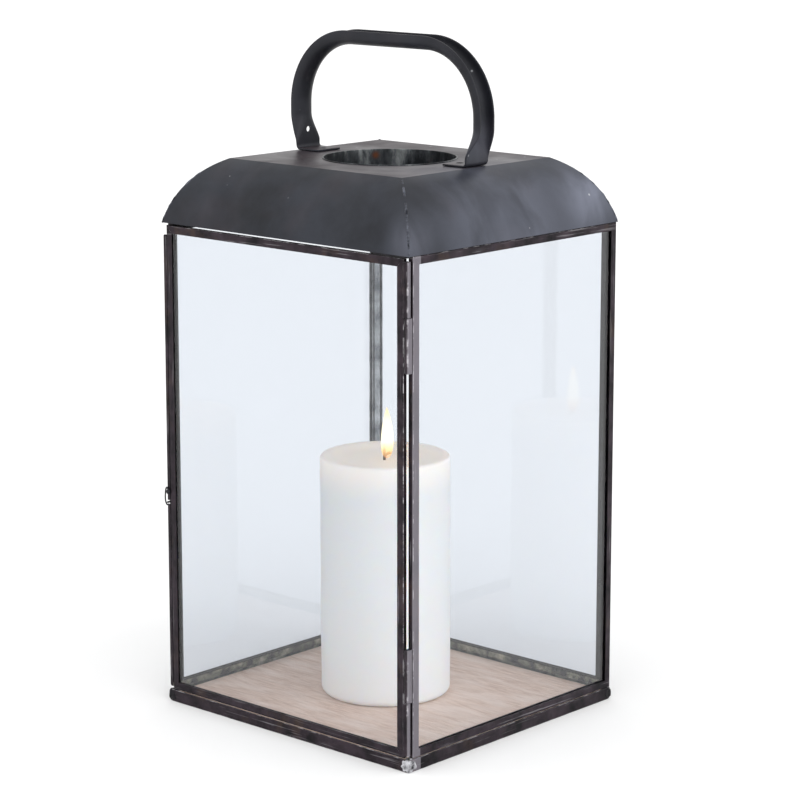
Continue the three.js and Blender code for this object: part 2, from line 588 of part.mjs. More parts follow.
function buildCandle() {
  const radius = CANDLE_DIAMETER / 2;
  const bore = WICK_RADIUS + RUN_FIT;
  const pool = CANDLE_HEIGHT - POOL_DEPTH;
  const foot = arcPoints(
    radius - CANDLE_BOTTOM_ROUND, CANDLE_BOTTOM_ROUND, CANDLE_BOTTOM_ROUND, -Math.PI / 2, 0, 6,
  );
  const brim = arcPoints(
    radius - CANDLE_TOP_ROUND, CANDLE_HEIGHT - CANDLE_TOP_ROUND, CANDLE_TOP_ROUND, 0, Math.PI / 2, 5,
  );
  const dish = POOL_DISH.map(([out, down]) => new THREE.Vector2(
    POOL_RADIUS * out, CANDLE_HEIGHT - POOL_DEPTH * down,
  ));
  const start = new THREE.Vector2(bore, 0);
  const profile = [start, ...foot, ...brim, ...dish, new THREE.Vector2(bore, pool), start];
  const candle = new THREE.Group();
  candle.position.set(...CANDLE_PLACE, BOARD_TOP + RUN_FIT);
  part.add(candle);
  const wax = new THREE.LatheGeometry(profile, LATHE_SEGMENTS).rotateX(Math.PI / 2);
  addMesh(candle, 'candle_wax', wax, ivoryWax);
  const top = new THREE.Vector3(0, 0, pool);
  const path = new THREE.CurvePath();
  path.add(new THREE.LineCurve3(new THREE.Vector3(0, 0, WICK_END), top));
  path.add(new THREE.QuadraticBezierCurve3(
    top,
    new THREE.Vector3(0, 0, pool + WICK_SHOW * WICK_STRAIGHT),
    new THREE.Vector3(...WICK_LEAN, pool + WICK_SHOW),
  ));
  const round = new THREE.Shape().absarc(0, 0, WICK_RADIUS, 0, 2 * Math.PI, false);
  const wick = new THREE.ExtrudeGeometry(round, {
    steps: WICK_STEPS, curveSegments: SMALL_SEGMENTS, bevelEnabled: false, extrudePath: path,
  });
  addMesh(candle, 'candle_wick', wick, charredCotton);
}

buildBase();
buildFixedPanels();
buildDoor();
buildLip();
buildHinge('lower', DOOR_BOTTOM + HINGE_END_INSET, 1);
buildHinge('upper', DOOR_TOP - HINGE_END_INSET, -1);
buildHook();
buildRivetAndKeeper();
buildRoof();
buildRim();
buildSleeve();
buildHandle();
buildCandle();

export default part;
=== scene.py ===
"""Candle lantern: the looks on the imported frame. Shapes are drawn in millimetres and scaled once."""

import math

import bmesh
import bpy
from mathutils import Matrix, Vector, noise


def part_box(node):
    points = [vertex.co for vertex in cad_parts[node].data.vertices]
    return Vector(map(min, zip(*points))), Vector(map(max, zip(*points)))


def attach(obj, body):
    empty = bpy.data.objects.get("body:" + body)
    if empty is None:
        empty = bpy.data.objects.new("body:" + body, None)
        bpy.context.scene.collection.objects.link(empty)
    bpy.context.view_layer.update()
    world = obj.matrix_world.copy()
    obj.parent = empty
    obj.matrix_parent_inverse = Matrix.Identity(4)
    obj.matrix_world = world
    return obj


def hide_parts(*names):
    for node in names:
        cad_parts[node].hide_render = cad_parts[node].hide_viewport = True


bl_info = {
    "name": "Candle Lantern",
    "version": (1, 0, 0),
    "blender": (4, 5, 0),
    "location": "View3D > Sidebar > Lantern",
    "description": "Builds a glazed sheet-metal candle lantern piece by piece",
    "category": "Object",
}

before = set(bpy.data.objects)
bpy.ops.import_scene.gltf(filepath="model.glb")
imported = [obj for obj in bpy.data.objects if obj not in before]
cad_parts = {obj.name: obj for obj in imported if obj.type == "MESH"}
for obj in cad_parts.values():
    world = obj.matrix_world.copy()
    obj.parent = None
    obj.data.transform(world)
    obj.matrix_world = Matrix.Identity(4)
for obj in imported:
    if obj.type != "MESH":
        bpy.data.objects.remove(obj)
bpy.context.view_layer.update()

MM = 0.001
UP = Vector((0.0, 0.0, 1.0))
MERGE = 0.001  # vertices closer than this are one, in millimetres
NEAR = 0.01  # places closer than this are the same place, in millimetres


# ---- shared helpers -----------------------------------------------------------------------


def cad_box(*nodes):
    """The box round some CAD nodes, as its two corners in millimetres."""
    boxes = [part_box(node) for node in nodes]
    low = Vector([min(box[0][i] for box in boxes) for i in range(3)]) / MM
    high = Vector([max(box[1][i] for box in boxes) for i in range(3)]) / MM
    return low, high


def cad_middle(node):
    """The middle of a CAD node's box, in millimetres."""
    low, high = cad_box(node)
    return (low + high) / 2


def linear(hex_colour):
    """A #rrggbb colour as the linear RGBA that a shader takes."""
    channels = [int(hex_colour[i : i + 2], 16) / 255 for i in (1, 3, 5)]
    return [c / 12.92 if c <= 0.04045 else ((c + 0.055) / 1.055) ** 2.4 for c in channels] + [1.0]


def add_node(tree, kind, settings=None, inputs=None):
    """Adds a shader node. An input given as (node, output name) is linked, any other is set."""
    made = tree.nodes.new(kind)
    for key, value in (settings or {}).items():
        setattr(made, key, value)
    for key, value in (inputs or {}).items():
        if isinstance(value, tuple) and isinstance(value[0], bpy.types.Node):
            tree.links.new(value[0].outputs[value[1]], made.inputs[key])
        else:
            made.inputs[key].default_value = value
    return made


def new_material(name):
    """An empty material with its output node and object coordinates."""
    material = bpy.data.materials.new(name)
    material.use_nodes = True
    tree = material.node_tree
    tree.nodes.clear()
    output = tree.nodes.new("ShaderNodeOutputMaterial")
    coordinates = tree.nodes.new("ShaderNodeTexCoord")
    return material, tree, output, coordinates


def block(bm, low, high):
    """Adds a box between two corners and returns its vertices."""
    low, high = Vector(low), Vector(high)
    place = Matrix.Translation((low + high) / 2) @ Matrix.Diagonal((*(high - low), 1.0))
    return bmesh.ops.create_cube(bm, size=1.0, matrix=place)["verts"]


def round_edges(bm, edges, width, segments):
    """Bevels edges to a round of the given width."""
    return bmesh.ops.bevel(
        bm,
        geom=list(edges),
        offset=width,
        offset_type="OFFSET",
        segments=segments,
        profile=0.5,
        affect="EDGES",
        clamp_overlap=True,
        material=-1,
    )


def sharp_edges(bm, angle=50.0):
    """The edges between faces that meet at more than the given angle."""
    return [e for e in bm.edges if len(e.link_faces) == 2 and e.calc_face_angle() > math.radians(angle)]


def sharp_edges_at(bm, height):
    """The sharp edges that lie level at a height."""
    return [e for e in sharp_edges(bm) if all(abs(v.co.z - height) < NEAR for v in e.verts)]


def extrude_edge(bm, edge):
    """Extrudes one edge in place. Returns the new edge and its two vertices."""
    grown = bmesh.ops.extrude_edge_only(bm, edges=[edge])["geom"]
    ends = [g for g in grown if isinstance(g, bmesh.types.BMVert)]
    edges = [g for g in grown if isinstance(g, bmesh.types.BMEdge)]
    return next(e for e in edges if all(v in ends for v in e.verts)), ends


def close_up(bm):
    """Merges doubles, fills open ends and turns all faces outwards."""
    bmesh.ops.remove_doubles(bm, verts=bm.verts, dist=2 * MERGE)
    bmesh.ops.holes_fill(bm, edges=[e for e in bm.edges if e.is_boundary])
    bmesh.ops.recalc_face_normals(bm, faces=bm.faces)


def thicken(bm, thickness, outwards):
    """Gives a sheet its wall behind the face that looks along outwards."""
    bmesh.ops.recalc_face_normals(bm, faces=bm.faces)
    face = max(bm.faces, key=lambda f: abs(f.normal.dot(outwards)) * f.calc_area())
    if face.normal.dot(outwards) < 0:
        bmesh.ops.reverse_faces(bm, faces=bm.faces)
    bmesh.ops.solidify(bm, geom=bm.faces[:], thickness=thickness)


def place_piece(name, bm, material, body, nodes=(), even=True, sharp=38.0):
    """Turns a shape in millimetres into a finished piece of the lantern."""
    bmesh.ops.scale(bm, vec=(MM, MM, MM), verts=bm.verts)
    bm.normal_update()
    for edge in bm.edges:
        edge.smooth = not (len(edge.link_faces) == 2 and edge.calc_face_angle() > math.radians(sharp))
    for face in bm.faces:
        face.smooth = True
    mesh = bpy.data.meshes.new(name)
    bm.to_mesh(mesh)
    bm.free()
    piece = bpy.data.objects.new(name, mesh)
    bpy.context.scene.collection.objects.link(piece)
    mesh.materials.append(material)
    if even:
        weights = piece.modifiers.new("even_normals", "WEIGHTED_NORMAL")
        weights.keep_sharp = True
    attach(piece, body)
    if nodes:
        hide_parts(*nodes)
    return piece


def cut_out(bm, cutters):
    """Cuts shapes out of a shape with an exact boolean and returns the result."""
    objects = []
    for index, shape in enumerate([bm, *cutters]):
        mesh = bpy.data.meshes.new(f"cutting_{index}")
        shape.to_mesh(mesh)
        shape.free()
        objects.append(bpy.data.objects.new(f"cutting_{index}", mesh))
        bpy.context.scene.collection.objects.link(objects[-1])
    for cutter in objects[1:]:
        modifier = objects[0].modifiers.new("cut", "BOOLEAN")
        modifier.operation = "DIFFERENCE"
        modifier.solver = "EXACT"
        modifier.object = cutter
    view_layer = bpy.context.evaluated_depsgraph_get()
    result = bmesh.new()
    result.from_mesh(objects[0].evaluated_get(view_layer).to_mesh())
    for item in objects:
        mesh = item.data
        bpy.data.objects.remove(item)
        bpy.data.meshes.remove(mesh)
    return result


def rod(bm, radius, start, end, segments=32):
    """Adds a round bar between two points and returns its vertices."""
    start, end = Vector(start), Vector(end)
    turn = (end - start).to_track_quat("Z", "Y").to_matrix().to_4x4()
    place = Matrix.Translation((start + end) / 2) @ turn
    return bmesh.ops.create_cone(
        bm,
        cap_ends=True,
        segments=segments,
        radius1=radius,
        radius2=radius,
        depth=(end - start).length,
        matrix=place,
    )["verts"]


def path_frames(points, side):
    """A matrix at each point of a path: Z runs along it and Y stays near the given side."""
    frames = []
    for i, point in enumerate(points):
        forward = (points[min(i + 1, len(points) - 1)] - points[max(i - 1, 0)]).normalized()
        across = side.cross(forward).normalized()
        turn = Matrix((across, forward.cross(across), forward)).transposed().to_4x4()
        frames.append(Matrix.Translation(point) @ turn)
    return frames


def sweep(bm, radius, frames, segments=12, swell=None):
    """Draws a round section along a path. swell gives the radius's factor at each point."""
    swell = swell or [1.0] * len(frames)
    ring = bmesh.ops.create_circle(
        bm, radius=radius * swell[0], segments=segments, matrix=frames[0],
    )["verts"]
    edges = list({e for v in ring for e in v.link_edges})
    for before, after, size0, size1 in zip(frames, frames[1:], swell, swell[1:]):
        grown = bmesh.ops.extrude_edge_only(bm, edges=edges)["geom"]
        ring = [g for g in grown if isinstance(g, bmesh.types.BMVert)]
        edges = [g for g in grown if isinstance(g, bmesh.types.BMEdge)]
        step = after @ Matrix.Scale(size1 / size0, 4) @ before.inverted()
        bmesh.ops.transform(bm, matrix=step, verts=ring)
        edges = [e for e in edges if all(v in ring for v in e.verts)]


def smooth_path(points, steps):
    """Points of a smooth line through the given ones."""
    line = []
    ends = [2 * points[0] - points[1], *points, 2 * points[-1] - points[-2]]
    for p0, p1, p2, p3 in zip(ends, ends[1:], ends[2:], ends[3:]):
        for i in range(steps):
            t = i / steps
            line.append(
                0.5 * (2 * p1 + (p2 - p0) * t + (2 * p0 - 5 * p1 + 4 * p2 - p3) * t**2
                       + (3 * p1 - p0 - 3 * p2 + p3) * t**3)
            )
    return line + [points[-1]]


# ---- what a user can change ---------------------------------------------------------------


def colour(name, description, hex_colour):
    """A colour that the user can change."""
    return bpy.props.FloatVectorProperty(
        name=name, description=description, subtype="COLOR", size=4, min=0.0, max=1.0,
        default=linear(hex_colour),
    )


def length(name, description, millimetres):
    """A length that the user can change, held in metres."""
    return bpy.props.FloatProperty(
        name=name, description=description, unit="LENGTH", precision=5, min=0.00001,
        default=millimetres * MM,
    )


class LanternColours(bpy.types.PropertyGroup):
    """The colours of the lantern's finishes."""

    frame_dark: colour("Frame, dark", "Blackened zinc where the patina is thickest", "#131014")
    frame_light: colour("Frame, light", "Blackened zinc where the patina is thin", "#393037")
    # Also the colour of the painted highlights along the frames' folds and streaks.
    wear_and_highlight: colour("Worn metal", "Metal where folds and corners have worn through", "#c9c6ca")
    sheet_dark: colour("Sheet, dark", "Darker clouds of the roof's steel", "#14161c")
    sheet_light: colour("Sheet, light", "Lighter clouds of the roof's steel", "#272a32")
    handle_dark: colour("Handle, dark", "Darker clouds of the handle's steel", "#15161b")
    handle_light: colour("Handle, light", "Lighter clouds of the handle's steel", "#26272e")
    zinc: colour("Bare zinc", "Bare zinc of the chimney sleeve", "#9da1a1")
    solder: colour("Solder", "Tin solder in the corners", "#cfcfd4")
    glass: colour("Glass", "Tint of one pane", "#ebeef2")
    wood: colour("Board", "Whitewashed board", "#e9cebd")
    grain: colour("Grain", "Grain lines of the board", "#cbab99")
    wax: colour("Wax", "Ivory wax", "#f8f8f5")
    # The warm tint of painted flame light on the wax towards the brim.
    brim: colour("Wax brim", "Wax warmed by the flame", "#fff3ec")
    floor: colour("Floor", "Studio floor", "#ececec")


class LanternSizes(bpy.types.PropertyGroup):
    """Small sizes that only the finished pieces have."""

    channel_fold: length("Channel fold", "Radius of the folded edges of the glazing channels", 0.6)
    channel_wall: length("Channel wall", "Sheet of the glazing channels", 0.5)
    channel_width: length("Channel width", "Visible face of a glazing channel", 4.8)
    sheet: length("Sheet", "Sheet of the tray and the roof", 0.9)
    door_drop: length("Door drop", "How far the door has sunk on its hinges", 0.35)
    tray_fold: length("Tray fold", "Radius of the tray's folded lower edges", 0.6)
    tray_corner: length("Tray corner", "Radius of the tray's upright corners", 2.6)
    tray_inset: length("Tray inset", "How far the tray's walls stand inside its solder", 0.3)
    board_gap: length("Board gap", "Gap between the board and the tray's walls", 2.4)
    board_edge: length("Board edge", "Rounding of the board's edges", 0.6)
    roof_run_x: length("Roof run, sides", "Level run of the left and right roof sides", 30.8)
    roof_run_y: length("Roof run, front", "Level run of the front and back roof sides", 27.8)
    seam: length("Roof seam", "Radius of the solder along the roof's hips", 0.8)
    strap: length("Handle sheet", "Thickness of the handle's strap", 1.2)
    strap_edge: length("Handle edge", "Rounding of the strap's edges", 0.35)
    foot_width: length("Handle foot width", "Width of the strap at its feet", 19.6)
    blank_width: length("Handle blank width", "Flat width of the strap along the grip", 23.2)
    roll_radius: length("Handle roll", "Mid-wall radius of the half-round grip", 6.0)
    grip: length("Handle grip", "Straight stretch at the top of the handle", 60.0)
    foot_length: length("Handle foot", "Length of the handle's feet", 18.4)
    wax_foot: length("Wax foot", "Rounding at the foot of the candle", 4.0)
    wax_brim: length("Wax brim", "Rounding at the brim of the candle", 2.2)
    wick: length("Wick", "Radius of the wick", 0.8)
    flame_height: length("Flame height", "Height of the flame", 31.5)
    flame_width: length("Flame width", "Width of the flame", 10.0)


MATERIALS = {}


def mm(name):
    """One of the scene's lantern sizes, in millimetres."""
    return getattr(bpy.context.scene.lantern_sizes, name) / MM


def shade(name):
    """One of the scene's lantern colours."""
    return tuple(getattr(bpy.context.scene.lantern_colours, name))


# ---- finishes -----------------------------------------------------------------------------

# Where the channels' finish changes, in metres from the lantern's origin.
BOTTOM_RAILS_END = 0.0135
# The right panel's front stile, painted paler as a painted highlight of the light from the right.
TOP_RAILS_START = 0.2905
MILL_ZINC_FADE = (0.0122, 0.0112)  # heights between which the bare rails turn black
BACK_POST = (-0.088, 0.082)  # the back left corner lies past these, in X and Y
PAINTED_HIGHLIGHT_STILE = (0.0985, -0.083)  # the right panel's front stile lies past these, in X and Y
INNER_SIDES = (-0.07, -0.085)  # place along the face's normal, from none to all of an inner side


def edge_mask(tree, coordinates, low, high):
    """1 on rounded edges, 0 on flat faces that lie square to the lantern."""
    bare = add_node(tree, "ShaderNodeVectorMath", {"operation": "ABSOLUTE"}, {0: (coordinates, "Normal")})
    parts = add_node(tree, "ShaderNodeSeparateXYZ", None, {"Vector": (bare, "Vector")})
    wide = add_node(tree, "ShaderNodeMath", {"operation": "MAXIMUM"}, {0: (parts, "X"), 1: (parts, "Y")})
    most = add_node(tree, "ShaderNodeMath", {"operation": "MAXIMUM"}, {0: (wide, "Value"), 1: (parts, "Z")})
    return add_node(
        tree, "ShaderNodeMapRange", None,
        {"Value": (most, "Value"), "From Min": high, "From Max": low, "To Min": 0.0, "To Max": 1.0},
    )


def spot_mask(tree, place, centre, radius, strength):
    """Full strength at a point given in millimetres, fading out to nothing at a radius."""
    away = add_node(
        tree, "ShaderNodeVectorMath", {"operation": "DISTANCE"}, {0: place, 1: Vector(centre) * MM},
    )
    return add_node(
        tree, "ShaderNodeMapRange", {"interpolation_type": "SMOOTHSTEP"},
        {
            "Value": (away, "Value"),
            "From Min": 0.0,
            "From Max": radius * MM,
            "To Min": strength,
            "To Max": 0.0,
        },
    )


def blackened_zinc():
    """Zinc channel blackened in a bath and rubbed: near black with a brown and violet cast,
    a soft metal gleam, and pale metal along folds and corners, partly rubbed through and partly painted
    highlight. The inner sides carry painted shade and the right panel's front stile a painted highlight."""
    material, tree, output, coordinates = new_material("blackened_zinc_bath_patina")
    place = (coordinates, "Object")
    # Clouds of thicker and thinner patina, about 15 mm across.
    clouds = add_node(
        tree, "ShaderNodeTexNoise", None,
        {"Vector": place, "Scale": 65.0, "Detail": 6.0, "Roughness": 0.62},
    )
    thin = add_node(
        tree, "ShaderNodeMapRange", None,
        {"Value": (clouds, "Fac"), "From Min": 0.36, "From Max": 0.64, "To Min": 0.0, "To Max": 1.0},
    )
    cast = add_node(
        tree, "ShaderNodeMix", {"data_type": "RGBA"},
        {"Factor": (thin, "Result"), 6: shade("frame_dark"), 7: shade("frame_light")},
    )
    # Rust-brown stains, 10 to 20 mm long.
    stains = add_node(
        tree, "ShaderNodeTexNoise", None,
        {"Vector": place, "Scale": 38.0, "Detail": 6.0, "Roughness": 0.7},
    )
    stain_mask = add_node(
        tree, "ShaderNodeMapRange", None,
        {"Value": (stains, "Fac"), "From Min": 0.54, "From Max": 0.68, "To Min": 0.0, "To Max": 0.7},
    )
    stained = add_node(
        tree, "ShaderNodeMix", {"data_type": "RGBA"},
        {"Factor": (stain_mask, "Result"), 6: (cast, "Result"), 7: linear("#43352f")},
    )
    # Folds: pale metal in broken lines, a few millimetres long, partly rubbed through and partly painted
    # highlight along the folds.
    wear_and_highlight = edge_mask(tree, coordinates, 0.8, 0.95)
    breaks = add_node(
        tree, "ShaderNodeTexNoise", None,
        {"Vector": place, "Scale": 120.0, "Detail": 5.0, "Roughness": 0.7},
    )
    breaks_mask = add_node(
        tree, "ShaderNodeMapRange", None,
        {"Value": (breaks, "Fac"), "From Min": 0.5, "From Max": 0.6, "To Min": 0.08, "To Max": 0.9},
    )
    fold_wear_and_highlight = add_node(
        tree, "ShaderNodeMath", {"operation": "MULTIPLY"}, {0: (wear_and_highlight, "Result"), 1: (breaks_mask, "Result")},
    )
    # Scratches and painted highlight streaks run along each channel. The real ones are 0.1 mm wide and are
    # drawn 0.5 mm wide to show.
    upright = add_node(tree, "ShaderNodeMapping", None, {"Vector": place, "Scale": (900.0, 900.0, 26.0)})
    level = add_node(tree, "ShaderNodeMapping", None, {"Vector": place, "Scale": (26.0, 26.0, 900.0)})
    parts = add_node(tree, "ShaderNodeSeparateXYZ", None, {"Vector": place})
    low_rail = add_node(
        tree, "ShaderNodeMath", {"operation": "LESS_THAN"}, {0: (parts, "Z"), 1: BOTTOM_RAILS_END},
    )
    high_up = add_node(
        tree, "ShaderNodeMath", {"operation": "GREATER_THAN"}, {0: (parts, "Z"), 1: TOP_RAILS_START},
    )
    on_rail = add_node(
        tree, "ShaderNodeMath", {"operation": "MAXIMUM"}, {0: (low_rail, "Value"), 1: (high_up, "Value")},
    )
    along = add_node(
        tree, "ShaderNodeMix", {"data_type": "VECTOR"},
        {"Factor": (on_rail, "Value"), 4: (upright, "Vector"), 5: (level, "Vector")},
    )
    scratch_and_highlight_streaks = add_node(
        tree, "ShaderNodeTexNoise", None,
        {"Vector": (along, "Result"), "Scale": 1.0, "Detail": 3.0, "Roughness": 0.6},
    )
    scratch_and_highlight_mask = add_node(
        tree, "ShaderNodeMapRange", None,
        {"Value": (scratch_and_highlight_streaks, "Fac"), "From Min": 0.6, "From Max": 0.74, "To Min": 0.0, "To Max": 0.3},
    )
    # Where rubbed-through folds, scratches and painted highlight streaks show the paler metal.
    wear_scratch_and_highlight = add_node(
        tree, "ShaderNodeMath", {"operation": "MAXIMUM"}, {0: (fold_wear_and_highlight, "Value"), 1: (scratch_and_highlight_mask, "Result")},
    )
    outer = add_node(
        tree, "ShaderNodeMix", {"data_type": "RGBA"},
        {"Factor": (wear_scratch_and_highlight, "Value"), 6: (stained, "Result"), 7: shade("wear_and_highlight")},
    )
    # The inner sides of the bottom rails kept their mill zinc: grey with green-grey blotches.
    flat = add_node(tree, "ShaderNodeVectorMath", {"operation": "MULTIPLY"}, {0: place, 1: (1.0, 1.0, 0.0)})
    facing = add_node(
        tree, "ShaderNodeVectorMath", {"operation": "DOT_PRODUCT"},
        {0: (flat, "Vector"), 1: (coordinates, "Normal")},
    )
    inward = add_node(
        tree, "ShaderNodeMapRange", None,
        {
            "Value": (facing, "Value"),
            "From Min": INNER_SIDES[0],
            "From Max": INNER_SIDES[1],
            "To Min": 0.0,
            "To Max": 1.0,
        },
    )
    low_down = add_node(
        tree, "ShaderNodeMapRange", None,
        {
            "Value": (parts, "Z"),
            "From Min": MILL_ZINC_FADE[0],
            "From Max": MILL_ZINC_FADE[1],
            "To Min": 0.0,
            "To Max": 1.0,
        },
    )
    # So did the post in the back left corner.
    west = add_node(
        tree, "ShaderNodeMath", {"operation": "LESS_THAN"}, {0: (parts, "X"), 1: BACK_POST[0]},
    )
    north = add_node(
        tree, "ShaderNodeMath", {"operation": "GREATER_THAN"}, {0: (parts, "Y"), 1: BACK_POST[1]},
    )
    post = add_node(
        tree, "ShaderNodeMath", {"operation": "MULTIPLY"}, {0: (west, "Value"), 1: (north, "Value")},
    )
    bare = add_node(
        tree, "ShaderNodeMath", {"operation": "MAXIMUM"}, {0: (post, "Value"), 1: (low_down, "Result")},
    )
    inside = add_node(
        tree, "ShaderNodeMath", {"operation": "MULTIPLY"}, {0: (inward, "Result"), 1: (bare, "Value")},
    )
    # Everywhere else the inner sides are painted near black: painted shade inside the lantern.
    inner_painted_shade = add_node(
        tree, "ShaderNodeMix", {"data_type": "RGBA"},
        {"Factor": (inward, "Result"), 6: (outer, "Result"), 7: linear("#0b0a0c")},
    )
    blotches = add_node(
        tree, "ShaderNodeTexNoise", None,
        {"Vector": place, "Scale": 95.0, "Detail": 5.0, "Roughness": 0.6},
    )
    mill = add_node(tree, "ShaderNodeValToRGB", None, {"Fac": (blotches, "Fac")})
    mill.color_ramp.elements[0].position, mill.color_ramp.elements[0].color = 0.4, linear("#2e3136")
    mill.color_ramp.elements[1].position, mill.color_ramp.elements[1].color = 0.66, linear("#a3a393")
    mill.color_ramp.elements.new(0.52).color = linear("#6d7064")
    colour_out = add_node(
        tree, "ShaderNodeMix", {"data_type": "RGBA"},
        {"Factor": (inside, "Value"), 6: (inner_painted_shade, "Result"), 7: (mill, "Color")},
    )
    post_inside = add_node(
        tree, "ShaderNodeMath", {"operation": "MULTIPLY"}, {0: (post, "Value"), 1: (inward, "Result")},
    )
    galvanised = add_node(
        tree, "ShaderNodeMix", {"data_type": "RGBA"},
        {"Factor": (thin, "Result"), 6: linear("#6f7479"), 7: linear("#d5d8da")},
    )
    colour_out = add_node(
        tree, "ShaderNodeMix", {"data_type": "RGBA"},
        {"Factor": (post_inside, "Value"), 6: (colour_out, "Result"), 7: (galvanised, "Result")},
    )
    # The front stile of the right panel is painted paler: a painted highlight of the light from the right.
    east = add_node(
        tree, "ShaderNodeMath", {"operation": "GREATER_THAN"}, {0: (parts, "X"), 1: PAINTED_HIGHLIGHT_STILE[0]},
    )
    south = add_node(
        tree, "ShaderNodeMath", {"operation": "LESS_THAN"}, {0: (parts, "Y"), 1: PAINTED_HIGHLIGHT_STILE[1]},
    )
    stile = add_node(
        tree, "ShaderNodeMath", {"operation": "MULTIPLY"}, {0: (east, "Value"), 1: (south, "Value")},
    )
    stile_painted_highlight = add_node(tree, "ShaderNodeMath", {"operation": "MULTIPLY"}, {0: (stile, "Value"), 1: 0.45})
    colour_out = add_node(
        tree, "ShaderNodeMix", {"data_type": "RGBA"},
        {"Factor": (stile_painted_highlight, "Value"), 6: (colour_out, "Result"), 7: linear("#9d99a1")},
    )
    roughness = add_node(
        tree, "ShaderNodeMapRange", None,
        {"Value": (clouds, "Fac"), "From Min": 0.3, "From Max": 0.7, "To Min": 0.5, "To Max": 0.3},
    )
    grit = add_node(tree, "ShaderNodeTexNoise", None, {"Vector": place, "Scale": 240.0, "Detail": 4.0})
    bump = add_node(
        tree, "ShaderNodeBump", None, {"Height": (grit, "Fac"), "Strength": 0.35, "Distance": 0.0004},
    )
    shader = add_node(
        tree, "ShaderNodeBsdfPrincipled", None,
        {
            "Base Color": (colour_out, "Result"),
            "Metallic": 0.6,
            "Roughness": (roughness, "Result"),
            "Specular IOR Level": 0.25,
            "Normal": (bump, "Normal"),
        },
    )
    tree.links.new(shader.outputs["BSDF"], output.inputs["Surface"])
    return material


